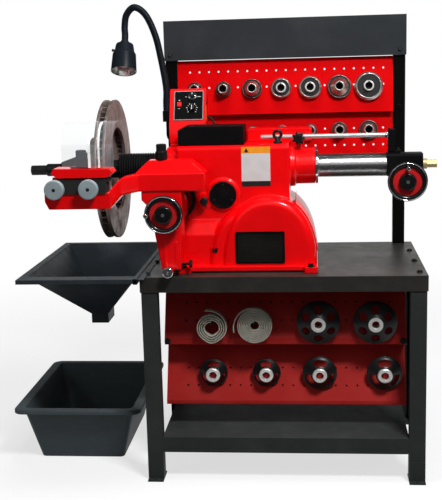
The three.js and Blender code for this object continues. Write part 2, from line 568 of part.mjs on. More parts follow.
function makeTub() {
  const outline = (inset, z) => {
    const x = [tub.left + inset, tub.right - inset];
    const y = [tub.front + inset, tub.back - inset];
    return raise(rounded(x, y, Math.max(tub.corner - inset / 2, tub.lipDrop), tub.cornerSteps), z);
  };
  const low = tub.lipWidth + tub.taper;
  const body = loft([outline(low, 0), outline(tub.lipWidth, tub.height)]);
  const lip = loft([outline(0, tub.height - tub.lipDrop), outline(0, tub.height)]);
  const under = loft([outline(tub.wall, tub.height - tub.lipDrop - overrun), outline(tub.wall, tub.height - tub.wall)]);
  const inside = loft([outline(low + tub.wall, tub.floor), outline(tub.lipWidth + tub.wall, tub.height + overrun)]);
  part('chip_tub', 'tub', cut(join(cut(lip, under), body), inside));
}

// Half of a superellipse above the base, optionally drawn in by an inset
function archOutline(inset, bottom, steps = dome.steps) {
  const across = dome.halfWidth - inset;
  const high = dome.height - inset;
  const power = 2 / dome.power;
  const points = Array.from({ length: steps + 1 }, (_, i) => {
    const angle = (i / steps) * Math.PI;
    const cosine = Math.cos(angle);
    return [dome.centre + across * Math.sign(cosine) * Math.abs(cosine) ** power,
      base.bottom + high * Math.sin(angle) ** power];
  });
  return [...points, [dome.centre - across, bottom], [dome.centre + across, bottom]];
}

// The motor dome with its front and back edges rounded over
function domeSolid() {
  const outline = archOutline(dome.round, base.bottom - dome.round * 2);
  const shape = new THREE.Shape(outline.map(([x, z]) => new THREE.Vector2(x, z)));
  const depth = dome.back - dome.front - dome.round * 2;
  const settings = { depth, bevelThickness: dome.round, bevelSize: dome.round, bevelSegments: 2, steps: 1 };
  const geometry = new THREE.ExtrudeGeometry(shape, settings).applyMatrix4(lay.y);
  const solid = toSolid(geometry.translate(0, dome.back - dome.round, 0));
  const wide = [dome.centre - dome.halfWidth * 2, dome.centre + dome.halfWidth * 2];
  const below = block(wide, [dome.front - overrun, dome.back + overrun], [base.bottom - dome.height, base.bottom]);
  return cut(solid, below);
}

function makeHousing() {
  const body = housing;
  const upper = prism('x', rounded([body.front, body.back], [body.waist, body.top], body.fillet), [body.left, body.right]);
  const lowerWide = rectangle([base.left, dome.centre], [body.lowerFront, body.lowerBack]);
  const lowerNarrow = rectangle([base.left, dome.centre], [body.front, body.back]);
  const lowerTop = crossBoss.z - crossBoss.radius;
  const lower = loft([raise(lowerWide, base.bottom), raise(lowerWide, lowerTop - body.lowerTaper),
    raise(lowerNarrow, lowerTop), raise(lowerNarrow, body.waist + body.fillet * 2)]);
  const leftBoss = bar('x', body.bossRadius, [body.bossLeft, body.left + overrun], [axis.y, axis.z], sides.wheel);
  const flange = bar('x', body.flangeRadius, [body.right - overrun, body.flangeRight], [axis.y, axis.z], sides.wheel);
  const collar = bar('x', body.collarRadius, [body.right, body.collarRight], [axis.y, axis.z], sides.wheel);
  const ear = block([control.left, body.left + overrun], [control.front, body.back], [control.ear, body.top]);
  const cross = bar('y', crossBoss.radius, [body.front, crossBoss.back], [crossBoss.x, crossBoss.z], sides.wheel);
  const lug = block([guideBar.x - barLug.halfWidth, guideBar.x + barLug.halfWidth], [barLug.front, body.front], [base.bottom, barLug.top]);
  const plinth = block([base.left, base.right], [base.front, base.back], [base.bottom, base.top]);
  const feet = [[base.left, base.left + base.foot], [base.right - base.foot, base.right]].flatMap((x) => [
    block(x, [base.front - base.footReach, base.front - base.footReach + base.footLength], [bench.height + seat, base.top]),
    block(x, [base.back + base.footReach - base.footLength, base.back + base.footReach], [bench.height + seat, base.top]),
  ]);
  const coverRing = bar('y', gearCover.ring, [body.front - gearCover.ringProud, body.front + overrun], [gearCover.x, gearCover.z], sides.wheel);
  const lobe = bar('y', engageKnob.lobe, [body.front - engageKnob.lobeProud, body.front + overrun], [engageKnob.x, engageKnob.z]);
  const drainLobe = bar('y', drain.lobe, [body.lowerFront - drain.proud, body.lowerFront + overrun], [drain.x, drain.z]);
  const plug = bar('y', drain.radius, [body.lowerFront - drain.proud - drain.head, body.lowerFront], [drain.x, drain.z], sides.small);
  const clamp = block([rodBoss.left, rodBoss.right], [axis.y - rodBoss.depth / 2, axis.y + rodBoss.depth / 2], [rodBoss.bottom, rodBoss.top]);
  const outside = join(upper, lower, domeSolid(), leftBoss, flange, collar, ear, cross, lug, plinth, feet, coverRing, lobe,
    drainLobe, plug, clamp);

  const bay = prism('y', archOutline(dome.wall, bench.height - overrun), [dome.front + dome.wall, dome.back - dome.wall]);
  const gearbox = block([body.left + body.wall, body.right - body.wall], [body.front + body.wall, body.back - body.wall],
    [body.waist + body.wall, body.top - body.wall]);
  const shaft = block([sleeve.hubLeft, body.right - body.wall], [body.front + body.wall, body.back - body.wall],
    [motor.z, body.waist + body.wall * 2]);
  const bushes = bar('x', body.bushBore, [body.bossLeft - overrun, body.collarRight + overrun], [axis.y, axis.z], sides.wheel);
  const ramBore = bar('y', around(ram.radius, sides.wheel), [body.front - overrun, crossBoss.back - body.wall], [crossBoss.x, crossBoss.z], sides.wheel);
  const barHole = bar('y', around(guideBar.radius, sides.round), [barLug.front - overrun, guideBar.back + seat], [guideBar.x, guideBar.z], sides.round);
  const window = block([grille.left + grille.frame, grille.right - grille.frame], [dome.front - overrun, dome.front + dome.wall + overrun],
    [grille.bottom + grille.frame, grille.top - grille.frame]);
  const knobHole = bar('y', around(engageKnob.stem, sides.small), [body.front - engageKnob.hole, body.front + engageKnob.hole], [engageKnob.x, engageKnob.z], sides.small);
  const rodHole = bar('x', around(rod.radius, sides.small), [rodBoss.left - overrun, rodBoss.right + overrun], [axis.y, rod.z], sides.small);
  const starHole = bar('y', around(star.stem, sides.small), [axis.y - rodBoss.depth, axis.y], [star.x, star.z], sides.small);
  part('main_housing', 'red', cut(outside, bay, gearbox, shaft, bushes, ramBore, barHole, window, knobHole, rodHole, starHole));

  const bearing = around(spindle.barrel, sides.wheel);
  const bush = (from, to, inner) => turned('x', [[from, inner], [from, body.bushBore - seat],
    [to, body.bushBore - seat], [to, inner]], [axis.y, axis.z], sides.wheel);
  const ringProfile = [[body.collarRight + seat, bearing], [body.collarRight + seat, seal.radius],
    [body.collarRight + seal.width, seal.radius - 1], [body.collarRight + seal.width, bearing]];
  part('spindle_bush_left', 'brass', bush(body.bossLeft, body.left + body.wall, around(spindle.nose, sides.wheel)));
  part('spindle_bush_right', 'chrome', join(
    bush(body.right - body.wall, body.collarRight + seat + fuse, bearing),
    turned('x', ringProfile, [axis.y, axis.z], sides.wheel),
  ));
}

function makeHousingTrim() {
  const coverFront = housing.front - gearCover.ringProud - seat;
  const cover = bar('y', gearCover.radius, [coverFront - gearCover.thickness, coverFront], [gearCover.x, gearCover.z], sides.wheel);
  part('gear_cover', 'black', cover);

  const spaceX = (grille.right - grille.left - grille.frame * 2) / grille.columns;
  const spaceZ = (grille.top - grille.bottom - grille.frame * 2) / grille.rows;
  const slots = [];
  for (let c = 0; c < grille.columns; c += 1) {
    for (let r = 0; r < grille.rows; r += 1) {
      const x = grille.left + grille.frame + (c + 0.5) * spaceX;
      const z = grille.bottom + grille.frame + (r + 0.5) * spaceZ;
      const [w, h] = [(spaceX * grille.share) / 2, (spaceZ * grille.share) / 2];
      slots.push(block([x - w, x + w], [dome.front - grille.frame, dome.front + overrun], [z - h, z + h]));
    }
  }
  const sheetY = [dome.front - seat - grille.sheet, dome.front - seat];
  part('motor_grille', 'black', cut(block([grille.left, grille.right], sheetY, [grille.bottom, grille.top]), join(slots)));

  const full = archOutline(-seat, base.bottom, strip.steps * 4).slice(0, strip.steps * 4 + 1);
  const first = Math.round(strip.fromShare * strip.steps * 4);
  const last = Math.round(strip.toShare * strip.steps * 4);
  const under = full.slice(first, last);
  const over = archOutline(-seat - strip.thickness, base.bottom, strip.steps * 4).slice(first, last).reverse();
  const inside = under[under.length - 1][0];
  const outside = over[0][0];
  part('belt_cover', 'red', prism('y', [...under, [inside, strip.top], [outside, strip.top], ...over], [strip.front, strip.back]));

  const s = switchCover;
  const foot = housing.top + seat;
  const hood = [[s.left, foot], [s.right, foot], [s.right, s.top], [s.left + s.chamferX, s.top], [s.left, s.top - s.chamferZ]];
  const inner = [[s.left + s.wall, foot - overrun], [s.right - s.wall, foot - overrun], [s.right - s.wall, s.top - s.wall],
    [s.left + s.chamferX, s.top - s.wall], [s.left + s.wall, s.top - s.chamferZ - s.wall / 2]];
  const gate = block([s.right - s.wall - overrun, s.right + overrun], [axis.y - s.gate / 2, axis.y + s.gate / 2], [foot - overrun, s.gateTop]);
  part('rod_cover', 'black', cut(prism('y', hood, [s.front, s.back]), prism('y', inner, [s.front + s.wall, s.back - s.wall]), gate));
  const t = topCover;
  part('top_cover', 'red', prism('y', [[t.left, foot], [t.right, foot], [t.right, t.top - t.fillet / 2], [t.right - t.fillet, t.top],
    [t.left + t.fillet, t.top], [t.left, t.top - t.fillet / 2]], [t.front, t.back]));

  const knobFront = housing.front - engageKnob.lobeProud - engageKnob.reach;
  part('engage_knob', 'black', join(
    turned('y', [[knobFront, 0], [knobFront, engageKnob.radius - 2], [knobFront + 2, engageKnob.radius],
      [knobFront + engageKnob.length - 2, engageKnob.radius], [knobFront + engageKnob.length, engageKnob.radius - 3],
      [knobFront + engageKnob.length, 0]], [engageKnob.x, engageKnob.z]),
    bar('y', engageKnob.stem, [knobFront + engageKnob.length - 1, housing.front + 10], [engageKnob.x, engageKnob.z], sides.small),
  ));
}

function makeDrive() {
  const at = [motor.y, motor.z];
  const casing = bar('x', motor.radius, [motor.left, motor.right], at, sides.wheel);
  const shaft = bar('x', motor.shaft, [motor.right - 1, pulley.right + 4], at);
  const shell = dome.wall + seat;
  const stand = block([motor.left + 10, motor.right - 10], [motor.y - motor.footWidth / 2, motor.y + motor.footWidth / 2],
    [bench.height + seat, motor.z - motor.foot]);
  part('drive_motor', 'castIron', join(casing, shaft, stand));
  const sheave = (left, right, radius, hole) => {
    const middle = (left + right) / 2;
    return [[left, hole], [left, radius], [middle - belt.width / 2, radius], [middle, radius - pulley.groove],
      [middle + belt.width / 2, radius], [right, radius], [right, hole]];
  };
  part('motor_pulley', 'castIron', turned('x', sheave(pulley.left, pulley.right, pulley.radius, around(motor.shaft, sides.round)), at));
  const hubHole = around(spindle.barrel, sides.wheel);
  const big = sheave(sleeve.left, sleeve.right, sleeve.radius, hubHole);
  part('drive_sleeve', 'castIron', turned('x', [[sleeve.hubLeft, hubHole], [sleeve.hubLeft, sleeve.hub], [sleeve.left, sleeve.hub],
    ...big.slice(1)], [axis.y, axis.z], sides.wheel));
  part('drive_belt', 'rubber', beltLoop(seat));
  return shell;
}

// The belt runs on two arcs and two straight tangents round both sheaves
function beltLoop(gap) {
  const [from, to] = [[motor.y, motor.z], [axis.y, axis.z]];
  const span = Math.hypot(to[0] - from[0], to[1] - from[1]);
  const tilt = Math.atan2(to[1] - from[1], to[0] - from[0]);
  const outline = (extra) => {
    const [small, large] = [pulley.radius + extra, sleeve.radius + extra];
    const open = Math.acos((small - large) / span);
    const arc = ([u, v], radius, start, end) => Array.from({ length: belt.steps + 1 }, (_, i) => {
      const angle = start + ((end - start) * i) / belt.steps;
      return [u + radius * Math.cos(angle), v + radius * Math.sin(angle)];
    });
    const chord = (radius, sweep) => radius / Math.cos(sweep / belt.steps / 2);
    return [...arc(to, chord(large, open * 2), tilt - open, tilt + open),
      ...arc(from, chord(small, (Math.PI - open) * 2), tilt + open, tilt + 2 * Math.PI - open)];
  };
  const middle = (sleeve.left + sleeve.right) / 2;
  const width = [middle - belt.width / 2, middle + belt.width / 2];
  return prism('x', outline(gap + belt.thickness), width, [outline(gap)]);
}

function makeSpindle() {
  const at = [axis.y, axis.z];
  const s = spindle;
  const hole = around(arbor.radius, sides.wheel);
  part('spindle', 'steel', turned('x', [[s.noseLeft, hole], [s.noseLeft, s.nose], [s.barrelLeft, s.nose], [s.barrelLeft, s.barrel],
    [s.barrelRight, s.barrel], [s.barrelRight, s.stub], [s.stubRight, s.stub], [s.stubRight, hole]], at, sides.wheel));
  const washerLeft = feedHead.right + seat;
  const hexLeft = washerLeft + arbor.washerWidth;
  part('arbor', 'brass', join(
    bar('x', arbor.radius, [arbor.left, hexLeft + 1], at),
    bar('x', arbor.washer, [washerLeft, hexLeft], at),
    bar('x', arbor.hex, [hexLeft - 1, hexLeft + arbor.hexWidth], at, sides.hex),
  ));
  const nutHole = bar('x', around(arbor.radius, sides.round), [nut.left + overrun, nut.right + overrun], at);
  part('arbor_nut', 'black', cut(join(
    bar('x', nut.hex, [nut.left, nut.left + nut.hexWidth], at, sides.hex),
    turned('x', [[nut.left + nut.hexWidth - 1, 0], [nut.left + nut.hexWidth - 1, nut.collar - 2], [nut.left + nut.hexWidth + 2, nut.collar],
      [nut.right, nut.collar], [nut.right, 0]], at),
  ), nutHole));
  const hat = hatPlace();
  const coneBody = turned('x', [[nut.right + seat, hole], [nut.right + seat, hub.coneSmall], [hat.left - seat - cone.nose, hub.coneLarge],
    [hat.left - seat, hub.coneLarge], [hat.left - seat, hole]], at, sides.wheel);
  const bellLeft = hat.floorRight + seat;
  const backing = turned('x', [[bellLeft, hole], [bellLeft, hub.bell], [bellLeft + hub.bellDepth, hub.bell],
    [bellLeft + hub.bellDepth * 2, hub.waist], [rotor.right + overrun, hub.waist], [rotor.right + overrun * 2, hub.neck],
    [s.noseLeft - seat, hub.neck], [s.noseLeft - seat, hole]], at, sides.wheel);
  part('hub_cone', 'black', coneBody);
  part('hub_bell', 'black', backing);
  part('brake_disc', 'iron', discSolid());
}

function hatPlace() {
  const bandLeft = rotor.right - rotor.plate * 2 - rotor.slot;
  const left = bandLeft - rotor.hatDepth;
  return { bandLeft, left, floorRight: left + rotor.hatFloor };
}

// Vented disc: two friction plates joined by radial vanes, with a hat behind
function discSolid() {
  const at = [axis.y, axis.z];
  const { bandLeft, left, floorRight } = hatPlace();
  const slotRight = rotor.right - rotor.plate;
  const slotLeft = slotRight - rotor.slot;
  const rightPlate = turned('x', [[slotRight, rotor.inner], [slotRight, rotor.outer], [rotor.right, rotor.outer],
    [rotor.right, rotor.inner]], at, sides.large);
  const inside = rotor.hat - rotor.hatWall;
  const hatAndPlate = turned('x', [[left, rotor.hole], [left, rotor.hat], [bandLeft - rotor.throat, rotor.hat],
    [bandLeft, rotor.inner], [bandLeft, rotor.outer], [slotLeft, rotor.outer], [slotLeft, rotor.inner],
    [bandLeft, inside], [floorRight, inside], [floorRight, rotor.hole]], at, sides.large);
  const vanes = Array.from({ length: rotor.vanes }, (_, i) => {
    const vane = new THREE.BoxGeometry(rotor.slot + 2, rotor.vaneWidth, rotor.outer - rotor.inner - rotor.vaneMargin * 2);
    vane.translate((slotLeft + slotRight) / 2, 0, (rotor.outer + rotor.inner) / 2);
    vane.rotateX((i / rotor.vanes) * 2 * Math.PI);
    return toSolid(vane.translate(0, ...at));
  });
  return join(rightPlate, hatAndPlate, vanes);
}

// A ribbed boot: crests and roots in turn, with straight cuffs
function ribbed(along, shape, [from, to], at, count) {
  const cuff = (to - from) / (shape.ribs * 2 + 2);
  const outer = [[from, shape.root]];
  for (let i = 0; i < shape.ribs; i += 1) {
    const start = from + cuff * (2 * i + 1);
    outer.push([start, shape.root], [start + cuff, shape.crest]);
  }
  outer.push([to - cuff, shape.root], [to, shape.root]);
  const inner = [[to, shape.root - shape.wall], [from, shape.root - shape.wall]];
  return turned(along, [...outer, ...inner], at, count);
}

function makeBoots() {
  const spindleBoot = [spindle.noseLeft + seat, housing.bossLeft - seat];
  part('spindle_boot', 'rubber', ribbed('x', boot, spindleBoot, [axis.y, axis.z], sides.round));
  const crossRange = [bootFlange.back + seat, housing.front - seat];
  part('cross_boot', 'rubber', ribbed('y', crossBoot, crossRange, [crossBoss.x, crossBoss.z], sides.wheel));
}

// A handwheel with a rounded rim, a dished web and a long hub; front is its outer face
function handwheel(shape, faceY) {
  const at = [shape.x, shape.z];
  const hubFront = faceY - shape.hubLength;
  const rimMiddle = faceY - shape.reach;
  const rimInner = shape.radius - shape.rim * 2;
  const rim = turned('y', ring(shape.rim, 6, [rimMiddle, shape.radius - shape.rim]).map(([place, radius]) => [place, radius]), at, sides.wheel);
  const web = turned('y', [[rimMiddle, shape.hub - 2], [rimMiddle, rimInner + 3], [rimMiddle + shape.web, rimInner + 3],
    [rimMiddle + shape.web + shape.spokeInset, shape.hub - 2]], at, sides.wheel);
  const hubBody = turned('y', [[hubFront, 0], [hubFront, shape.hub - 3], [hubFront + 3, shape.hub],
    [faceY - shape.spokeInset, shape.hub], [faceY - seat, shape.hub - 8], [faceY - seat, shape.shaft],
    [faceY + shape.socket - seat * 3, shape.shaft], [faceY + shape.socket - seat * 3, 0]], at);
  return join(rim, web, hubBody);
}

// Where a handwheel's crank grip stands: its axis, and the plane at its foot
function gripPlace(shape, place, faceY) {
  const angle = (place.angle * Math.PI) / 180;
  const at = [shape.x + place.circle * Math.cos(angle), shape.z + place.circle * Math.sin(angle)];
  return { at, foot: faceY - shape.reach - shape.rim - seat };
}

// The boss and pin on the wheel that carry the grip
function gripPin(shape, place, faceY) {
  const { at, foot } = gripPlace(shape, place, faceY);
  const web = faceY - shape.reach + fuse;
  return turned('y', [[foot - grip.pinDepth, 0], [foot - grip.pinDepth, grip.pin], [foot + seat, grip.pin],
    [foot + seat, grip.neck], [web, grip.neck], [web, 0]], at, grip.pinSides);
}

// The free-turning grip on its pin
function crankGrip(shape, place, faceY) {
  const { at, foot } = gripPlace(shape, place, faceY);
  const bore = around(grip.pin, sides.small);
  const end = foot - grip.length;
  const bottom = foot - grip.pinDepth - seat;
  return turned('y', [[end, 0], [end, grip.radius - 3], [end + 4, grip.radius], [foot - 6, grip.radius - 1],
    [foot, grip.neck], [foot, bore], [bottom, bore], [bottom, 0]], at, sides.small);
}

function makeFeedHead() {
  const h = feedHead;
  const top = prism('x', rounded([h.front, h.back], [h.bottom, h.top], h.fillet), [h.left + seat, h.right]);
  const lugX = [feedWheel.x - h.lug / 2, feedWheel.x + h.lug / 2];
  const lug = block(lugX, [h.front, h.back - h.fillet], [h.bottom - h.lugDrop, h.bottom + h.fillet * 2]);
  const hole = bar('x', around(spindle.stub, sides.wheel), [h.left - overrun, h.right + overrun], [axis.y, axis.z], sides.wheel);
  const socket = bar('y', around(feedWheel.shaft, sides.round), [h.front - overrun, h.front + feedWheel.socket], [feedWheel.x, feedWheel.z], sides.round);
  part('feed_head', 'black', cut(join(top, lug), hole, socket));
  part('feed_handwheel', 'black', join(handwheel(feedWheel, h.front), gripPin(feedWheel, feedGrip, h.front)));
  part('feed_grip', 'chrome', crankGrip(feedWheel, feedGrip, h.front));

  const depth = [axis.y - bracket.depth / 2, axis.y + bracket.depth / 2];
  const foot = h.top + seat;
  part('stop_rod', 'steel', join(
    block([bracket.left, bracket.right], depth, [foot, bracket.top]),
    block([bracket.left, bracket.left + bracket.foot], depth, [foot, foot + bracket.footHeight]),
    bar('x', rod.radius, [rod.left, bracket.left + 1], [axis.y, rod.z], sides.small),
  ));

  const knobBack = axis.y - rodBoss.depth / 2 - star.gap;
  const lobes = Array.from({ length: star.lobes * 6 }, (_, i) => {
    const angle = (i / (star.lobes * 6)) * 2 * Math.PI;
    const radius = star.radius * (1 - star.lobeShare * 0.5 + star.lobeShare * 0.5 * Math.cos(star.lobes * angle));
    return [star.x + radius * Math.cos(angle), star.z + radius * Math.sin(angle)];
  });
  part('star_knob', 'black', join(
    prism('y', lobes, [knobBack - star.thickness, knobBack]),
    bar('y', star.stem, [knobBack - 1, axis.y - rod.radius - 2], [star.x, star.z], sides.small),
  ));
}

function makeCrossSlide() {
  const s = saddle;
  const upper = prism('y', [[s.stepLeft, s.blockBottom], [s.right, s.blockBottom], [s.right, s.top], [s.left, s.top],
    [s.left, s.stepZ], [s.left + (s.stepLeft - s.left) / 2, s.stepZ - (s.stepLeft - s.left) / 2], [s.stepLeft, s.stepZ - 4]], [s.front, s.back]);
  const section = (left, right, front, back, z) => raise(rectangle([left, right], [front, back]), z);
  const column = loft([
    section(s.footLeft, s.footRight, s.footFront, s.footBack, s.footZ),
    section(s.kneeLeft, s.right - 3, s.front, s.back, s.kneeZ),
    section(s.stepLeft, s.right, s.front, s.back, s.blockBottom + 1),
  ]);
  const groove = bar('y', around(guideBar.radius, sides.round), [s.front - overrun, s.back + overrun], [guideBar.x, guideBar.z], sides.round);
  const ribs = [s.footLeft + s.rib, s.footRight - s.rib * 2].map((x) => block([x, x + s.rib],
    [s.footFront - s.ribDepth, s.footFront + overrun], [s.footZ + s.rib, s.kneeZ - crossWheel.rim * 3]));
  const shaft = bar('y', ram.radius, [bootFlange.back - fuse, ram.back], [crossBoss.x, crossBoss.z], sides.wheel);
  const stud = bar('z', armNut.stud, [s.top - 1, arm.top + armNut.height - 8], [armNut.x, armNut.y], sides.small);
  const socket = bar('y', around(crossWheel.shaft, sides.round), [s.front - overrun, s.front + crossWheel.socket], [crossWheel.x, crossWheel.z], sides.round);
  const f = bootFlange;
  const flange = bar('y', f.radius, [f.front, f.back], [f.x, f.z], sides.wheel);
  part('saddle', 'red', cut(join(upper, column, flange, ribs, shaft, stud), groove, socket));
  const b = guideBar;
  part('guide_bar', 'chrome', turned('y', [[b.front, 0], [b.front, b.radius - b.chamfer], [b.front + b.chamfer, b.radius],
    [b.back, b.radius], [b.back, 0]], [b.x, b.z]));
  part('cross_handwheel', 'black', join(handwheel(crossWheel, s.front), gripPin(crossWheel, crossGrip, s.front)));
  part('cross_grip', 'chrome', crankGrip(crossWheel, crossGrip, s.front));
}

// A round knob nut with a narrower knurled top and a stud hole
function knobNut(shape, bottom, hole) {
  const at = [shape.x, shape.y];
  const top = bottom + shape.height;
  const middle = bottom + shape.height * 0.5;
  return turned('z', [[bottom, hole], [bottom, shape.radius - 1.5], [bottom + 1.5, shape.radius], [middle, shape.radius],
    [middle + 3, shape.neck], [top - 2, shape.neck], [top, shape.neck - 2], [top, 0], [top - 6, 0], [top - 6, hole]], at, sides.round);
}

function makeArm() {
  const a = arm;
  const slab = block([a.left, a.right], [a.front, a.back], [a.bottom, a.ridge]);
  const crown = loft([
    raise(rectangle([a.left, a.right], [a.front, a.back]), a.ridge),
    raise(rectangle([a.topLeft, a.topRight], [a.topFront, a.topBack]), a.top),
  ]);
  const section = (x, front, back, bottom, top) => [[x, front, bottom], [x, back, bottom], [x, back, top], [x, front, top]];
  const reach = loft([
    section(armNeck.startX, a.front, a.back, a.bottom, a.ridge),
    section(armNeck.middleX, armNeck.middleFront, armNeck.middleBack, armNeck.middleBottom, armNeck.middleTop),
    section(jaw.right - 4, jaw.front, rotorFront() - guardGap(), jaw.bottom, jaw.top + 6),
    section(jaw.right - 12, jaw.front, jaw.back, jaw.bottom, jaw.top),
  ]);
  const body = prism('y', [[jaw.left + jaw.bevel, jaw.bottom], [jaw.right, jaw.bottom], [jaw.right, jaw.top], [jaw.left, jaw.top],
    [jaw.left, jaw.bottom + jaw.bevel * 2]], [jaw.front, jaw.back]);
  const grooves = [toolBar.leftX, toolBar.rightX].map((x) => bar('y', around(toolBar.barrel, sides.round), [jaw.front - overrun, jaw.back + overrun], [x, toolBar.z], sides.round));
  const boss = bar('z', clampNut.stud + 3, [jaw.top - 1, toolBar.z + toolBar.barrel], [clampNut.x, clampNut.y], sides.small);
  const stud = bar('z', clampNut.stud, [jaw.top, plate.top + clampNut.height - 6], [clampNut.x, clampNut.y], sides.small);
  const pivot = bar('z', around(armNut.stud, sides.small), [a.bottom - overrun, a.top + overrun], [armNut.x, armNut.y], sides.small);
  part('cutter_arm', 'red', cut(join(slab, crown, reach, cut(body, grooves), cut(join(boss, stud), grooves)), pivot));
  part('arm_clamp_nut', 'black', knobNut(armNut, a.top + seat, around(armNut.stud, sides.round)));

  const p = plate;
  const across = [[p.left + p.endInset, p.bottom], [p.right - p.endInset, p.bottom], [p.right, p.bottom + p.endRise], [p.right - p.endInset / 2, p.top - 3],
    [p.left + p.endInset / 2, p.top], [p.left, p.bottom + p.endRise]];
  const padTop = p.bottom + 1;
  const pads = [toolBar.leftX, toolBar.rightX].map((x) => block([x - p.pad, x + p.pad], [p.front + p.pad, p.back - p.pad],
    [toolBar.z + toolBar.barrel + seat, padTop]));
  const plateHole = bar('z', around(clampNut.stud, sides.small), [p.bottom - overrun, p.top + overrun], [clampNut.x, clampNut.y], sides.small);
  part('clamp_plate', 'red', cut(join(prism('y', across, [p.front, p.back]), pads), plateHole));
  part('clamp_nut', 'black', knobNut(clampNut, p.top + guard.sheet + seat * 2, around(clampNut.stud, sides.round)));

  for (const [side, x, inward] of [['left', toolBar.leftX, 1], ['right', toolBar.rightX, -1]]) {
    makeToolBar(side, x, inward);
  }
  part('chip_guard', 'clear', guardSolid());
}

const rotorFront = () => axis.y - rotor.outer;
const guardGap = () => 16;

// A tool bar: a barrel in the jaw's groove, a square shank, a cutting tip turned inward and a stem into its knob
function makeToolBar(side, x, inward) {
  const t = toolBar;
  const m = micrometer;
  const tipX = [x + inward * (t.shank - 1), x + inward * (t.shank + t.tipReach)].sort((p, q) => p - q);
  part(`tool_bar_${side}`, 'black', join(
    bar('y', t.barrel, [t.front, t.back], [x, t.z]),
    block([x - t.shank, x + t.shank], [t.back - 1, t.tip], [t.z - t.shank, t.z + t.shank]),
    block(tipX, [t.tip - t.tipLength, t.tip], [t.z - t.shank / 2, t.z + t.shank / 2]),
    bar('y', m.stem, [m.stemFront, t.front + 1], [x, t.z], sides.small),
  ));
  const hole = around(m.stem, sides.wheel);
  part(`micrometer_${side}`, 'aluminium', turned('y', [[m.front, hole], [m.front, m.radius - 2], [m.front + 2, m.radius],
    [m.back - 4, m.radius], [m.back - 4, m.radius - 4], [m.back, m.radius - 4], [m.back, hole]], [x, t.z], sides.wheel));
}

// Clear sheet: upright in front of the disc, then bent back over its rim; its foot lies under the clamp nut
function guardSolid() {
  const g = guard;
  const footZ = plate.top + seat;
  const centre = [g.front + g.bend, g.bendZ];
  const arc = (radius) => Array.from({ length: g.steps + 1 }, (_, i) => {
    const angle = Math.PI - (i / g.steps) * (Math.PI / 2);
    return [centre[0] + radius * Math.cos(angle), centre[1] + radius * Math.sin(angle)];
  });
  const outer = arc(g.bend);
  const inner = arc(g.bend - g.sheet).reverse();
  const top = g.bendZ + g.bend;
  const profile = [[g.front, footZ], ...outer, [g.back, top], [g.back, top - g.sheet], ...inner, [g.front + g.sheet, footZ]];
  const pane = prism('x', profile, [g.left, g.right]);
  const foot = block([g.footLeft, g.footRight], [g.front, plate.back - 4], [footZ, footZ + g.sheet]);
  const hole = bar('z', around(clampNut.stud, sides.small), [footZ - overrun, footZ + overrun], [clampNut.x, clampNut.y], sides.small);
  return cut(join(pane, foot), hole);
}

// Frame of the leaning control face: origin at its lower edge, Y up the slope, Z out of it
function faceFrame() {
  const rise = new THREE.Vector3(0, control.topFront - control.front, control.top - control.knee).normalize();
  const right = new THREE.Vector3(1, 0, 0);
  const out = new THREE.Vector3().crossVectors(right, rise);
  return new THREE.Matrix4().makeBasis(right, rise, out).setPosition(0, control.front, control.knee);
}

const faceBlock = ([x0, x1], [v0, v1], [h0, h1], turn = new THREE.Matrix4()) => {
  const geometry = new THREE.BoxGeometry(x1 - x0, v1 - v0, h1 - h0).applyMatrix4(turn);
  geometry.translate((x0 + x1) / 2, (v0 + v1) / 2, (h0 + h1) / 2);
  return toSolid(geometry.applyMatrix4(faceFrame()));
};

const faceTurned = (profile, x, up, count = sides.round) => {
  const points = profile.map(([height, radius]) => new THREE.Vector2(radius, height));
  const geometry = new THREE.LatheGeometry(points, count).rotateX(Math.PI / 2).translate(x, up, 0);
  return toSolid(geometry.applyMatrix4(faceFrame()));
};

function makeControls() {
  const c = control;
  const foot = housing.top + seat;
  const side = [[c.front, foot], [c.front, c.knee], [c.topFront, c.top], [c.topBack, c.top], [c.topBack, c.shoulder], [c.back, c.knee], [c.back, foot]];
  const well = faceBlock([rocker.x - rocker.width / 2 - seat, rocker.x + rocker.width / 2 + seat],
    [rocker.up - rocker.height / 2 - seat, rocker.up + rocker.height / 2 + seat], [-rocker.well * 2, overrun]);
  const stemHole = around(speedKnob.stem, sides.round);
  const stems = [[speedKnob.x, speedKnob.up], [feedDial.x, feedDial.up]].map(([x, up]) => faceTurned(
    [[-16, 0], [-16, stemHole], [overrun, stemHole], [overrun, 0]], x, up));
  part('control_box', 'red', cut(prism('x', side, [c.left, c.right]), well, stems));
  const f = facePlate;
  part('control_face', 'black', cut(faceBlock([f.left, f.right], [f.low, f.high], [seat, seat + f.sheet]), well, stems));

  const rise = seat + f.sheet + seat;
  const k = speedKnob;
  part('speed_knob', 'chrome', faceTurned([[-12, 0], [-12, k.stem], [rise, k.stem], [rise, k.skirt], [rise + k.skirtHeight, k.skirt - 2],
    [rise + k.skirtHeight, k.knob], [rise + k.knobHeight, k.knob - 1], [rise + k.knobHeight, 0]], k.x, k.up));
  const d = feedDial;
  part('feed_dial', 'black', join(
    faceTurned([[-12, 0], [-12, d.stem], [rise, d.stem], [rise, d.radius], [rise + d.height - 2, d.radius - 1], [rise + d.height, d.radius - 3],
      [rise + d.height, 0]], d.x, d.up),
    faceBlock([d.x - d.pointer / 2, d.x + d.pointer / 2], [d.up, d.up + d.radius + 3], [rise, rise + d.height / 2]),
  ));
  const tilt = new THREE.Matrix4().makeRotationX((rocker.tilt * Math.PI) / 180);
  const slack = 1.2;
  part('rocker_switch', 'red', faceBlock([rocker.x - rocker.width / 2 + slack, rocker.x + rocker.width / 2 - slack],
    [rocker.up - rocker.height / 2 + slack, rocker.up + rocker.height / 2 - slack], [-rocker.well + 1, rocker.rise + f.sheet], tilt));
}

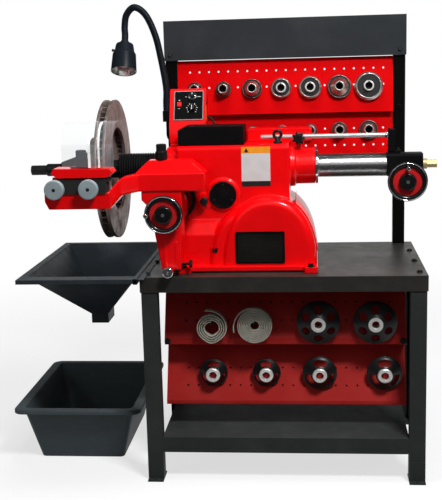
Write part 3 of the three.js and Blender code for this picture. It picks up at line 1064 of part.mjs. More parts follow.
function makeLamp() {
  const l = lampClamp;
  part('lamp_clamp', 'black', block([l.left, control.left - seat], [l.front, l.back], [l.bottom, l.top]));
  part('gooseneck', 'black', tube(neckRoute, neck.radius, neck.steps, neck.sides));
  const h = head;
  const z = headSteps;
  const t = h.wall;
  const profile = [[0, 0], [0, h.neck], [-z.neck, h.neck], [-z.shoulder, h.shoulder], [-z.waist, h.waist], [-z.cup, h.cup], [-z.mouth, h.mouth],
    [-z.mouth, h.mouth - t], [-z.cup - t, h.cup - t], [-z.waist - t, h.waist - t], [-z.shoulder - t, h.shoulder - t], [-z.shoulder - t, 0]];
  const points = profile.map(([place, radius]) => new THREE.Vector2(radius, place - seat));
  const place = new THREE.Matrix4().makeTranslation(...neckRoute.at(-1)).multiply(new THREE.Matrix4().makeRotationX(-h.tilt));
  const shell = new THREE.LatheGeometry(points, sides.wheel).rotateX(Math.PI / 2).applyMatrix4(place);
  const switchTurn = new THREE.Matrix4().makeRotationZ(Math.PI / 2);
  const along = (geometry) => toSolid(geometry.applyMatrix4(switchTurn).translate(0, 0, -lampSwitch.drop).applyMatrix4(place));
  const switchHole = around(lampSwitch.stem, sides.small);
  const hole = along(new THREE.CylinderGeometry(switchHole, switchHole, h.waist, sides.small).translate(0, h.waist, 0));
  part('lamp_head', 'black', cut(toSolid(shell), hole));
  const nubLeft = h.waist + lampSwitch.reach;
  const nub = new THREE.LatheGeometry([[h.waist - 8, 0], [h.waist - 8, lampSwitch.stem], [h.waist + 3, lampSwitch.stem], [h.waist + 3, lampSwitch.radius],
    [nubLeft, lampSwitch.radius - 1], [nubLeft, 0]].map(([along0, radius]) => new THREE.Vector2(radius, along0)), sides.small);
  part('lamp_switch', 'black', along(nub));
  part('lamp_cable', 'rubber', tube(lampCableRoute, cable.radius, cable.steps, cable.sides));
  part('control_cable', 'rubber', tube(controlCableRoute, cable.radius, cable.steps, cable.sides));
}

makeBench();
makeBoards();
makeBack();
makeEye();
makeHopper();
makeTub();
makeHousing();
makeHousingTrim();
makeDrive();
makeSpindle();
makeBoots();
makeFeedHead();
makeCrossSlide();
makeArm();
makeControls();
makeLamp();

// The finished model stands with its origin at the middle of its base
const bounds = new THREE.Box3().setFromObject(group);
const middle = bounds.getCenter(new THREE.Vector3());
for (const mesh of group.children) mesh.geometry.translate(-middle.x, -middle.y, -bounds.min.z);
console.log(`Origin moved by ${(-middle.x).toFixed(3)}, ${(-middle.y).toFixed(3)}, ${(-bounds.min.z).toFixed(3)}`);

export default group;
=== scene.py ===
"""Looks of a workshop brake lathe on its tool bench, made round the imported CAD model.

Sizes are millimetres in the bench's own frame: +X right along the spindle, +Y away from the operator, +Z up,
with the origin on the floor under the middle of the bench top. Skin.mesh turns them into metres in the
model's frame, which lies ORIGIN away.
"""

import json
import logging
import math
from dataclasses import dataclass, field
from enum import Enum
from functools import partial
from typing import Any

import bmesh
import bpy
import numpy as np
from mathutils import Matrix, Vector
from numpy.typing import NDArray


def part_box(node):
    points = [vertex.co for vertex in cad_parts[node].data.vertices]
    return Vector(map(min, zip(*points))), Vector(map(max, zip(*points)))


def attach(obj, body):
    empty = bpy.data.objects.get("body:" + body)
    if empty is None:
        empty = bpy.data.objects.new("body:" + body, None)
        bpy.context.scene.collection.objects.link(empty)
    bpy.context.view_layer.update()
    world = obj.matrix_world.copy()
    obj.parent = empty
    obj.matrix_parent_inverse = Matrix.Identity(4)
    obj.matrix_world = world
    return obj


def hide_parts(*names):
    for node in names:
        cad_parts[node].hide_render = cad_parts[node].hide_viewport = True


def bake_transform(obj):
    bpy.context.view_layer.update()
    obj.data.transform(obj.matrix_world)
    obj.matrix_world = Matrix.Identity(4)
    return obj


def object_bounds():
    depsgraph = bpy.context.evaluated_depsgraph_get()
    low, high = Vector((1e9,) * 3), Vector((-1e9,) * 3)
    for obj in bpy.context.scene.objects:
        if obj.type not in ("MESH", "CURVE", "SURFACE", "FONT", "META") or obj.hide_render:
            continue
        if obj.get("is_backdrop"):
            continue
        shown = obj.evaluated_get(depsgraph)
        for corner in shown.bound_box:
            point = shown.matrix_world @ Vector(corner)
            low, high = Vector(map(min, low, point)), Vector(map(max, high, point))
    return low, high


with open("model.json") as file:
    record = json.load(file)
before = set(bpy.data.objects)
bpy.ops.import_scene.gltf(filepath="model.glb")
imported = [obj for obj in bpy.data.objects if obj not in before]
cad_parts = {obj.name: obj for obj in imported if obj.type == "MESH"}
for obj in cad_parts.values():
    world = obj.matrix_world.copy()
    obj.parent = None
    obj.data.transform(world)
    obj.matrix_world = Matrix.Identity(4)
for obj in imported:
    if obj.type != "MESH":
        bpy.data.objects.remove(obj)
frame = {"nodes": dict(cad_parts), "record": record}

LOG = logging.getLogger("brake_lathe")
Points = NDArray[np.float64]
Pair = tuple[float, float]
Spot = tuple[float, float, float]
Line = Points | list[Pair]
Piece = bpy.types.Object
Socket = bpy.types.NodeSocket
MM = 0.001
CAD_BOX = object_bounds()
BENCH_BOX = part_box("bench_top")
ORIGIN: Points = np.array([(BENCH_BOX[0][i] + BENCH_BOX[1][i]) / 2 / MM for i in range(2)] + [0.0])
STAND = "stand"
SPINDLE_LINE = (-80, 1011)


class Axis(Enum):
    """An axis of the bench's frame; its value is its place in a point."""

    X = 0
    Y = 1
    Z = 2


def laid(axis: Axis, along: Points, first: Points, second: Points) -> Points:
    """Points from a coordinate along an axis and the other two coordinates in X, Y, Z order.

    Args:
        axis: the axis that `along` is measured on.
        along: places on that axis.
        first: places on the first of the other axes.
        second: places on the second of the other axes.

    Returns:
        An array with a last dimension of three.
    """
    parts = [first, second]
    parts.insert(axis.value, along)
    return np.stack(np.broadcast_arrays(*parts), axis=-1).astype(float)


def metres(place: Points) -> Spot:
    """A bench place in millimetres as a point of the model's frame in metres."""
    x, y, z = (np.asarray(place, float) + ORIGIN) * MM
    return float(x), float(y), float(z)


def turn(axis: Axis, angle: float) -> Points:
    """The 3 by 3 matrix of a turn about an axis by an angle in radians."""
    return np.array(Matrix.Rotation(angle, 3, axis.name))


def smooth_route(route: tuple[Spot, ...], count: int) -> Points:
    """A smooth curve through a few places: a Catmull-Rom spline, evenly spaced along its length.

    Each span blends four neighbouring places with the cubic weights of the spline, and the dense curve is
    then sampled again at equal steps of its length.

    Args:
        route: the places that the curve goes through.
        count: how many points come back.

    Returns:
        An array of points, count by three.
    """
    places = np.array(route, float)
    padded = np.vstack([2 * places[0] - places[1], places, 2 * places[-1] - places[-2]])
    spans = len(places) - 1
    share = np.linspace(0, spans, spans * 24 + 1)
    span = np.minimum(share.astype(int), spans - 1)
    t = (share - span)[:, None]
    a, b, c, d = (padded[span + i] for i in range(4))
    dense = 0.5 * (2 * b + (c - a) * t + (2 * a - 5 * b + 4 * c - d) * t**2 + (3 * b - a - 3 * c + d) * t**3)
    length = run_along(dense)
    even = np.linspace(0, length[-1], count)
    return np.stack([np.interp(even, length, dense[:, i]) for i in range(3)], axis=1)


def run_along(path: Points) -> Points:
    """How far each point of a path lies along it."""
    return np.concatenate([[0], np.cumsum(np.linalg.norm(np.diff(path, axis=0), axis=1))])


def drawn_in(u: Pair, v: Pair, by: float) -> tuple[Pair, Pair]:
    """A rectangle's sides, each drawn in by a distance."""
    return (u[0] + by, u[1] - by), (v[0] + by, v[1] - by)


def circle(radius: float, count: int, centre: Pair = (0, 0)) -> Points:
    """Points on a circle, anticlockwise: radius times cosine and sine of even angles."""
    angle = np.arange(count) / count * 2 * np.pi
    return np.stack([centre[0] + radius * np.cos(angle), centre[1] + radius * np.sin(angle)], axis=1)


def rounded_rectangle(u: Pair, v: Pair, radius: float, steps: int = 6) -> Points:
    """Outline of a rectangle whose four corners are quarter circles.

    Args:
        u: lowest and highest place across.
        v: lowest and highest place up.
        radius: corner radius.
        steps: facets in each corner.

    Returns:
        The outline's points, anticlockwise.
    """
    corner = np.repeat(np.arange(4), steps + 1)
    angle = (corner + np.tile(np.linspace(0, 1, steps + 1), 4)) * np.pi / 2
    middle_u = np.where((corner == 0) | (corner == 3), u[1] - radius, u[0] + radius)
    middle_v = np.where(corner < 2, v[1] - radius, v[0] + radius)
    return np.stack([middle_u + radius * np.cos(angle), middle_v + radius * np.sin(angle)], axis=1)


def filleted(profile: list[Pair], radius: float, steps: int = 4) -> Points:
    """An open profile whose inner corners are rounded.

    At each corner the profile leaves one leg and joins the next at equal distances, at most a third of the
    shorter leg, and a quadratic curve with its control point in the corner joins them.

    Args:
        profile: the corners of the profile, in order.
        radius: the distance from the corner at which the rounding starts.
        steps: facets in each rounded corner.

    Returns:
        The rounded profile's points.
    """
    corners = np.array(profile, float)
    before, here, after = corners[:-2], corners[1:-1], corners[2:]
    back, on = before - here, after - here
    back_length = np.linalg.norm(back, axis=1, keepdims=True)
    on_length = np.linalg.norm(on, axis=1, keepdims=True)
    reach = np.minimum(radius, np.minimum(back_length, on_length) / 3)
    start, end = here + back / back_length * reach, here + on / on_length * reach
    t = np.linspace(0, 1, steps + 1)[None, :, None]
    arcs = start[:, None] * (1 - t) ** 2 + 2 * here[:, None] * t * (1 - t) + end[:, None] * t**2
    return np.vstack([corners[:1], arcs.reshape(-1, 2), corners[-1:]])


@dataclass
class Skin:
    """A surface in the making: corners in bench millimetres, and faces with their own UVs in metres.

    Each entry of faces is an array of faces with equally many corners, and the same entry of uvs holds their
    UV places.
    """

    places: Points
    faces: list[NDArray[np.int64]]
    uvs: list[Points]

    @staticmethod
    def grid(points: Points, wrap_rows: bool = False, wrap_columns: bool = False, capped: bool = False) -> "Skin":
        """A surface through a grid of points, one quad per cell.

        Args:
            points: rows by columns by three.
            wrap_rows: whether the last row joins the first.
            wrap_columns: whether the last column joins the first.
            capped: whether the first and last rows are closed with one face each.

        Returns:
            The skin, with U along the rows' direction and V across it, both in metres of surface.
        """
        rows, columns = points.shape[:2]
        row = np.arange(rows if wrap_rows else rows - 1)
        column = np.arange(columns if wrap_columns else columns - 1)
        i, j = (part.ravel() for part in np.meshgrid(row, column, indexing="ij"))
        at = lambda r, c: (r % rows) * columns + c % columns
        quads = np.stack([at(i, j), at(i, j + 1), at(i + 1, j + 1), at(i + 1, j)], axis=1)
        steps_u = np.linalg.norm(np.diff(points, axis=0, append=points[:1]), axis=2).max(axis=1)
        steps_v = np.linalg.norm(np.diff(points, axis=1, append=points[:, :1]), axis=2).max(axis=0)
        u = np.concatenate([[0], np.cumsum(steps_u)]) * MM
        v = np.concatenate([[0], np.cumsum(steps_v)]) * MM
        corner = lambda r, c: np.stack([u[r], v[c]], axis=-1)
        uv = np.stack([corner(i, j), corner(i, j + 1), corner(i + 1, j + 1), corner(i + 1, j)], axis=1)
        faces, uvs = [quads], [uv]
        if capped:
            first = np.arange(columns)[None, ::-1]
            last = (rows - 1) * columns + np.arange(columns)[None]
            flat = np.stack([v[:columns], np.zeros(columns)], axis=-1)[None]
            faces += [first, last]
            uvs += [flat, flat]
        return Skin(points.reshape(-1, 3), faces, uvs)

    @staticmethod
    def joined(*skins: "Skin") -> "Skin":
        """Several skins as one."""
        shift = np.concatenate([[0], np.cumsum([len(skin.places) for skin in skins])])
        faces = [part + shift[i] for i, skin in enumerate(skins) for part in skin.faces]
        return Skin(np.vstack([s.places for s in skins]), faces, [uv for s in skins for uv in s.uvs])

    def turned(self, matrix: Points, centre: Spot = (0, 0, 0)) -> "Skin":
        """The skin after a turn about a centre."""
        middle = np.array(centre, float)
        return Skin((self.places - middle) @ np.array(matrix).T + middle, self.faces, self.uvs)

    def moved(self, by: Spot) -> "Skin":
        """The skin after a move."""
        return Skin(self.places + np.array(by, float), self.faces, self.uvs)

    def mesh(self, name: str) -> bpy.types.Mesh:
        """A Blender mesh in metres in the model's frame, its doubles merged and its faces turned outwards."""
        mesh = bpy.data.meshes.new(name)
        mesh.vertices.add(len(self.places))
        mesh.vertices.foreach_set("co", ((self.places + ORIGIN) * MM).astype(np.float32).ravel())
        corners = np.concatenate([np.full(len(part), part.shape[1]) for part in self.faces])
        mesh.loops.add(int(corners.sum()))
        mesh.loops.foreach_set("vertex_index", np.concatenate([p.ravel() for p in self.faces]).astype(np.int32))
        mesh.polygons.add(len(corners))
        mesh.polygons.foreach_set("loop_start", (np.cumsum(corners) - corners).astype(np.int32))
        layer = mesh.uv_layers.new(name="UVMap")
        layer.data.foreach_set("uv", np.concatenate([uv.reshape(-1) for uv in self.uvs]).astype(np.float32))
        mesh.update(calc_edges=True)
        mesh.validate()
        tidy(mesh)
        return mesh


def tidy(mesh: bpy.types.Mesh, flat: float = 0) -> None:
    """Merges a mesh's doubles, optionally dissolves its flat edges, and turns its faces outwards.

    Args:
        mesh: the mesh to tidy.
        flat: the angle in radians below which an edge between two faces is dissolved; none at 0.
    """
    work = bmesh.new()
    work.from_mesh(mesh)
    bmesh.ops.remove_doubles(work, verts=work.verts, dist=2e-6)
    if flat > 0:
        bmesh.ops.dissolve_limit(work, angle_limit=flat, verts=work.verts, edges=work.edges)
    bmesh.ops.recalc_face_normals(work, faces=work.faces)
    work.to_mesh(mesh)
    work.free()


def leaning(lean: float, rise: float) -> Points:
    """The axes of a leaning face as columns: along X, up its slope, and out of it towards the operator."""
    up, out = np.array([[lean, rise], [-rise, lean]]) / math.hypot(lean, rise)
    return np.array([[1, 0, 0], [0, up[0], out[0]], [0, up[1], out[1]]])


def revolved(
    axis: Axis, profile: Line, centre: Pair, count: int = 64, soft: float = 0, steps: int = 4,
    wave: Points | None = None,
) -> Skin:
    """A profile turned about a line along an axis.

    A point at angle a lies at the centre plus its radius times (cos a, sin a); wave multiplies the radius at
    each angle, for lobes and knurls.

    Args:
        axis: the direction of the line.
        profile: places along the axis with their radii; a closed ring if it ends where it starts.
        centre: the line's place on the other two axes, in X, Y, Z order.
        count: facets round the line.
        soft: the radius of the profile's fillets, or 0 for none.
        steps: facets in each fillet.
        wave: a factor for the radius at each angle, count long.

    Returns:
        The closed skin.
    """
    line = filleted(profile, soft, steps) if soft else np.array(profile, float)
    angle = np.arange(count) / count * 2 * np.pi
    radius = line[:, 1][:, None] * (np.ones(count) if wave is None else wave)[None]
    first, second = centre[0] + radius * np.cos(angle), centre[1] + radius * np.sin(angle)
    points = laid(axis, line[:, 0][:, None], first, second)
    ring = bool(np.allclose(line[0], line[-1]))
    return Skin.grid(points[:-1] if ring else points, wrap_rows=ring, wrap_columns=True)


def lathed(profile: Line, count: int = 96, soft: float = 0, steps: int = 4, wave: Points | None = None) -> Skin:
    """A profile turned about the Z axis."""
    return revolved(Axis.Z, profile, (0, 0), count, soft, steps, wave)


def fluted(count: int, lobes: int, depth: float) -> Points:
    """A wave for revolved: 1 less a cosine of so many lobes."""
    return 1 - depth * np.cos(np.arange(count) / count * 2 * np.pi * lobes)


def extruded(axis: Axis, outline: Line, ends: Pair) -> Skin:
    """An outline carried along an axis between two places, closed at both ends."""
    flat = np.array(outline, float)
    along = np.array(ends, float)[:, None]
    return Skin.grid(laid(axis, along, flat[None, :, 0], flat[None, :, 1]), wrap_columns=True, capped=True)


def boxed(x: Pair, y: Pair, z: Pair) -> Skin:
    """A block between two places on each axis."""
    return extruded(Axis.Z, [(x[0], y[0]), (x[1], y[0]), (x[1], y[1]), (x[0], y[1])], z)


def lofted(sections: list[Points]) -> Skin:
    """A skin through closed sections of equally many points, closed at both ends."""
    return Skin.grid(np.stack(sections), wrap_columns=True, capped=True)


def swept(outline: Points, path: Points, aside: Spot = (0, 1, 0)) -> Skin:
    """An outline carried along a path.

    At each point of the path the outline's first direction is the tangent crossed with `aside`, and its
    second is that direction crossed with the tangent, so the outline stays square to the path.

    Args:
        outline: the closed outline, or one outline for each point of the path.
        path: the points of the path.
        aside: a direction that the path never runs along.

    Returns:
        The closed skin.
    """
    tangent = np.gradient(path, axis=0)
    tangent /= np.linalg.norm(tangent, axis=1, keepdims=True)
    first = np.cross(tangent, np.array(aside))
    first /= np.linalg.norm(first, axis=1, keepdims=True)
    second = np.cross(first, tangent)
    shape = np.broadcast_to(outline, (len(path), *np.shape(outline)[-2:]))
    points = path[:, None] + first[:, None] * shape[..., :1] + second[:, None] * shape[..., 1:]
    return Skin.grid(points, wrap_columns=True, capped=True)


def hexagon(across: float, centre: Pair = (0, 0)) -> Points:
    """The outline of a hexagon of a given width across its flats."""
    return circle(across / math.sqrt(3), 6, centre)


class Value:
    """A socket that Python's operators work on; each expression adds its Math nodes to the same tree."""

    def __init__(self, tree: "Tree", socket: Socket) -> None:
        """Wraps an output socket of a tree."""
        self.tree = tree
        self.socket = socket

    def __add__(self, other: "Value | float") -> "Value":
        """Sum."""
        return self.tree.math("ADD", self, other)

    __radd__ = __add__

    def __sub__(self, other: "Value | float") -> "Value":
        """Difference."""
        return self.tree.math("SUBTRACT", self, other)

    def __rsub__(self, other: float) -> "Value":
        """Difference from a number."""
        return self.tree.math("SUBTRACT", other, self)

    def __mul__(self, other: "Value | float") -> "Value":
        """Product."""
        return self.tree.math("MULTIPLY", self, other)

    __rmul__ = __mul__

    def __truediv__(self, other: "Value | float") -> "Value":
        """Quotient."""
        return self.tree.math("DIVIDE", self, other)

    def __pow__(self, other: float) -> "Value":
        """Power."""
        return self.tree.math("POWER", self, other)

    def above(self, edge: float, width: float) -> "Value":
        """0 below an edge and 1 above it, with a soft step of a given width."""
        return ((self - (edge - width / 2)) / width).clamped()

    def clamped(self) -> "Value":
        """The value held between 0 and 1."""
        return self.tree.math("MAXIMUM", self.tree.math("MINIMUM", self, 1), 0)

    def sine(self) -> "Value":
        """Sine of the value."""
        return self.tree.math("SINE", self, 0)


Colour = Spot


class Tree:
    """A material's nodes, with short calls for the few kinds that the finishes use."""

    def __init__(self, name: str) -> None:
        """Starts a material with one Principled BSDF."""
        self.material = bpy.data.materials.new(name)
        self.material.use_nodes = True
        self.nodes = self.material.node_tree.nodes
        self.links = self.material.node_tree.links
        self.shader = self.nodes["Principled BSDF"]

    def node(self, kind: str, settings: dict[str, Any] | None = None, inputs: dict[Any, Any] | None = None) -> Any:
        """Adds a node.

        Args:
            kind: the node's type.
            settings: its own settings, set before its sockets are filled.
            inputs: values or links of its sockets, by name or place.

        Returns:
            The node.
        """
        made = self.nodes.new(kind)
        for key, value in (settings or {}).items():
            setattr(made, key, value)
        for key, value in (inputs or {}).items():
            self.fill(made.inputs[key], value)
        return made

    def fill(self, socket: Socket, value: Any) -> None:
        """Links a socket to a value of the tree, or sets its number or colour."""
        if isinstance(value, Value):
            self.links.new(value.socket, socket)
        elif isinstance(value, Socket):
            self.links.new(value, socket)
        elif isinstance(value, tuple) and len(value) == 3 and socket.type == "RGBA":
            socket.default_value = (*value, 1)
        else:
            socket.default_value = value

    def math(self, operation: str, first: Value | float, second: Value | float) -> Value:
        """Adds a Math node on one or two values."""
        made = self.node("ShaderNodeMath", {"operation": operation}, {0: first, 1: second})
        return Value(self, made.outputs[0])

    def place(self, scale: Spot = (1, 1, 1), uv: bool = False) -> Value:
        """Object coordinates, or the piece's own UV map, scaled along each axis."""
        source = self.node("ShaderNodeTexCoord")
        inputs = {"Vector": source.outputs["UV" if uv else "Object"], "Scale": scale}
        made = self.node("ShaderNodeMapping", None, inputs)
        return Value(self, made.outputs[0])

    def parts(self, uv: bool = False) -> list[Value]:
        """The three parts of a place, in metres."""
        split = self.node("ShaderNodeSeparateXYZ", None, {0: self.place(uv=uv)})
        return [Value(self, part) for part in split.outputs]

    def noise(self, scale: float, detail: float = 3, rough: float = 0.55, at: Value | None = None) -> Value:
        """Fractal noise, whose values lie around a half; scale is in features per metre."""
        where = at or self.place()
        inputs = {"Vector": where, "Scale": scale, "Detail": detail, "Roughness": rough}
        return Value(self, self.node("ShaderNodeTexNoise", None, inputs).outputs["Fac"])

    def cells(self, scale: float, at: Value | None = None) -> Value:
        """Distance to the nearest of random points; scale is in cells per metre."""
        made = self.node("ShaderNodeTexVoronoi", None, {"Vector": at or self.place(), "Scale": scale})
        return Value(self, made.outputs["Distance"])

    def from_axis(self, axis: Axis, centre: Pair) -> Value:
        """Distance in metres from a line along an axis through a bench place in millimetres."""
        parts = self.parts()
        others = [i for i in range(3) if i != axis.value]
        a, b = (parts[i] - (centre[k] + ORIGIN[i]) * MM for k, i in enumerate(others))
        return (a * a + b * b) ** 0.5

    def along(self, axis: Axis) -> Value:
        """The coordinate along an axis, in metres."""
        return self.parts()[axis.value]

    def blend(self, share: Value | float, low: Any, high: Any) -> Socket:
        """A colour between two colours or links."""
        made = self.node("ShaderNodeMix", {"data_type": "RGBA"}, {0: share, 6: low, 7: high})
        return made.outputs[2]

    def bump(self, height: Value, depth: float, strength: float = 1) -> None:
        """Gives the shader a bumpy normal; depth is the height in metres that a value of 1 stands for."""
        made = self.node("ShaderNodeBump", None, {"Height": height, "Distance": depth, "Strength": strength})
        self.fill(self.shader.inputs["Normal"], made.outputs[0])

    def paint(self, **inputs: Any) -> None:
        """Fills the shader's sockets; an underscore in a name stands for a space."""
        for key, value in inputs.items():
            self.fill(self.shader.inputs[key.replace("_", " ")], value)


@dataclass(frozen=True)
class Finish:
    """A finish: a name, the record's material slot that it belongs to, and the nodes that make it."""

    name: str
    slot: str

    def dress(self, tree: Tree) -> None:
        """Adds the finish's nodes to a tree."""
        raise NotImplementedError

    def material(self) -> bpy.types.Material:
        """The finish as a material, made once; its name differs from the CAD's material names."""
        name = self.name + "_finish"
        found = bpy.data.materials.get(name)
        if found is None:
            tree = Tree(name)
            self.dress(tree)
            found = tree.material
        return found


@dataclass(frozen=True)
class Enamel(Finish):
    """Sprayed enamel: a colour that drifts a little, fine orange peel and a clear glossy coat."""

    colour: Colour = (0.82, 0.001, 0.003)
    deep: Colour = (0.66, 0.001, 0.002)
    roughness: float = 0.3
    coat: float = 0.42
    peel: float = 0.00012
    peel_scale: float = 420

    def dress(self, tree: Tree) -> None:
        """Colour drift over a few centimetres, dust in the roughness, and orange peel as bump."""
        drift = tree.noise(9, 3)
        dust = tree.noise(60, 5, 0.7)
        tree.paint(
            Base_Color=tree.blend(drift.above(0.5, 0.5), self.deep, self.colour),
            Roughness=(self.roughness - 0.06) + dust * 0.14,
            Coat_Weight=self.coat,
            Coat_Roughness=0.06,
            Specular_IOR_Level=0.12,
        )
        tree.bump(tree.noise(self.peel_scale, 2, 0.4) + tree.noise(self.peel_scale / 4, 1) * 0.8, self.peel)


@dataclass(frozen=True)
class Powder(Finish):
    """Powder coat on sheet metal: satin, with a fine even grain and faint rubbed places."""

    colour: Colour = (0.02, 0.021, 0.023)
    rubbed: Colour = (0.045, 0.047, 0.05)
    roughness: float = 0.42
    grain: float = 0.0001
    grain_scale: float = 900
    sheen: float = 0.08
    low: Colour | None = None
    split: float = 1.359

    def dress(self, tree: Tree) -> None:
        """A grain bump, rubbed patches and a few fine scratches; below the split height it has its low colour."""
        patches = tree.noise(7, 4, 0.6).above(0.6, 0.3)
        scratches = tree.noise(30, 2, 0.5, tree.place((1, 1, 14))).above(0.7, 0.06) * 0.5
        share = (patches * 0.5 + scratches).clamped()
        colour = tree.blend(share, self.colour, self.rubbed)
        if self.low:
            colour = tree.blend(tree.along(Axis.Z).above(self.split, 0.001), self.low, colour)
        tree.paint(
            Base_Color=colour,
            Roughness=self.roughness + tree.noise(25, 4, 0.6) * 0.16 - patches * 0.06,
            Specular_IOR_Level=self.sheen,
        )
        tree.bump(tree.noise(self.grain_scale, 2, 0.5), self.grain)


@dataclass(frozen=True)
class Moulded(Finish):
    """Moulded plastic: a dull skin with a leathery grain and paler scuffs."""

    colour: Colour = (0.02, 0.026, 0.034)
    scuffed: Colour = (0.05, 0.06, 0.072)
    roughness: float = 0.5
    grain: float = 0.0002
    grain_scale: float = 500

    def dress(self, tree: Tree) -> None:
        """Cells as the mould's grain, and scuffs as stretched noise."""
        scuffs = tree.noise(18, 5, 0.65, tree.place((1, 1, 3))).above(0.62, 0.2)
        tree.paint(
            Base_Color=tree.blend(scuffs * 0.6, self.colour, self.scuffed),
            Roughness=self.roughness + tree.noise(40, 3) * 0.15,
            Specular_IOR_Level=0.2,
        )
        tree.bump(tree.cells(self.grain_scale) + tree.noise(120, 2) * 0.5, self.grain)


@dataclass(frozen=True)
class Turned(Finish):
    """Metal cut on a lathe: fine grooves round an axis, and a colour that drifts a little."""

    colour: Colour = (0.62, 0.63, 0.65)
    dull: Colour = (0.42, 0.43, 0.45)
    roughness: float = 0.2
    axis: Axis = Axis.X
    centre: Pair = (-80, 1011)
    groove: float = 0.00002
    pitch: float = 0.0006
    metal: float = 1
    own_map: bool = False

    def dress(self, tree: Tree) -> None:
        """Grooves are a fast sine of the place along the profile: along the axis plus away from it, or U."""
        if self.own_map:
            reach = tree.parts(uv=True)[0]
        else:
            reach = tree.from_axis(self.axis, self.centre) + tree.along(self.axis)
        wobble = tree.noise(14, 2) * 0.4
        groove = (reach * (2 * math.pi / self.pitch) + wobble).sine()
        smudge = tree.noise(22, 5, 0.65).above(0.52, 0.35)
        bands = tree.noise(160, 2, 0.5)
        tree.paint(
            Base_Color=tree.blend(smudge * 0.7, self.colour, self.dull),
            Metallic=self.metal,
            Roughness=self.roughness + smudge * 0.1 + bands * 0.05,
        )
        tree.bump(groove + bands, self.groove)


@dataclass(frozen=True)
class Rotor(Finish):
    """A worn brake disc: brown-grey iron with grooves round the axis and bright rubbed bands."""

    colour: Colour = (0.21, 0.16, 0.145)
    rubbed: Colour = (0.42, 0.37, 0.35)
    rust: Colour = (0.16, 0.075, 0.04)

    def dress(self, tree: Tree) -> None:
        """Bands depend on the distance from the axis alone; rust comes in blotches."""
        reach = tree.from_axis(Axis.X, (-80, 1011))
        rings = tree.noise(1, 4, 0.7, tree.math("MULTIPLY", reach, 420))
        groove = (reach * (2 * math.pi / 0.0013)).sine()
        blotch = tree.noise(26, 6, 0.7).above(0.55, 0.22)
        worn = tree.blend(rings.above(0.5, 0.4), self.colour, self.rubbed)
        tree.paint(
            Base_Color=tree.blend(blotch * 0.6, worn, self.rust),
            Metallic=0.85 - blotch * 0.4,
            Roughness=0.34 + blotch * 0.25 + rings * 0.12,
        )
        tree.bump(groove * 0.6 + rings + blotch * 0.8, 0.00012)


@dataclass(frozen=True)
class Oxide(Finish):
    """Blackened machined steel: near black with a soft sheen and brighter rubbed spots."""

    colour: Colour = (0.014, 0.014, 0.016)
    bare: Colour = (0.16, 0.16, 0.17)
    roughness: float = 0.3
    metal: float = 0.25

    def dress(self, tree: Tree) -> None:
        """Rubbed spots are the peaks of a fine noise; the skin keeps a slight grain."""
        rubbed = tree.noise(55, 6, 0.7).above(0.66, 0.14)
        tree.paint(
            Base_Color=tree.blend(rubbed * 0.5, self.colour, self.bare),
            Metallic=self.metal,
            Roughness=self.roughness + tree.noise(80, 3) * 0.12,
            Specular_IOR_Level=0.25,
        )
        tree.bump(tree.noise(700, 3, 0.6), 0.00004)


@dataclass(frozen=True)
class Polished(Finish):
    """Chrome or polished metal with faint finger marks."""

    colour: Colour = (0.78, 0.79, 0.81)
    roughness: float = 0.07

    def dress(self, tree: Tree) -> None:
        """Finger marks raise the roughness in patches."""
        marks = tree.noise(70, 5, 0.6).above(0.55, 0.2)
        tree.paint(
            Base_Color=tree.blend(marks * 0.3, self.colour, tuple(0.8 * c for c in self.colour)),
            Metallic=1,
            Roughness=self.roughness + marks * 0.09,
        )
        tree.bump(tree.noise(90, 2), 0.000004)


@dataclass(frozen=True)
class Rubber(Finish):
    """Black rubber with a bloom of dust on its raised skin."""

    colour: Colour = (0.012, 0.012, 0.013)
    bloom: Colour = (0.05, 0.05, 0.052)
    roughness: float = 0.55

    def dress(self, tree: Tree) -> None:
        """Bloom in soft patches, and a fine moulded grain."""
        patches = tree.noise(30, 5, 0.65).above(0.55, 0.3)
        tree.paint(
            Base_Color=tree.blend(patches * 0.35, self.colour, self.bloom),
            Roughness=self.roughness + patches * 0.15,
            Specular_IOR_Level=0.15,
        )
        tree.bump(tree.noise(420, 3, 0.6), 0.00008)


@dataclass(frozen=True)
class Webbing(Finish):
    """Woven strap: threads across and along the piece's own UV map, with frayed, grubby patches."""

    colour: Colour = (0.56, 0.54, 0.45)
    dirty: Colour = (0.34, 0.32, 0.27)
    thread: float = 0.0016

    def dress(self, tree: Tree) -> None:
        """The weave is the product of two sines of U and V, a half step apart in every other row."""
        u, v = (part * (2 * math.pi / self.thread) for part in tree.parts(uv=True)[:2])
        weave = u.sine() * v.sine()
        grubby = tree.noise(38, 5, 0.65).above(0.5, 0.4)
        base = tree.blend(grubby, self.colour, self.dirty)
        tree.paint(
            Base_Color=tree.blend((weave * 0.5 + 0.5) * 0.35, base, tuple(0.55 * c for c in self.dirty)),
            Roughness=0.85,
            Specular_IOR_Level=0.2,
        )
        tree.bump(weave + tree.noise(900, 2) * 0.6, 0.00035)


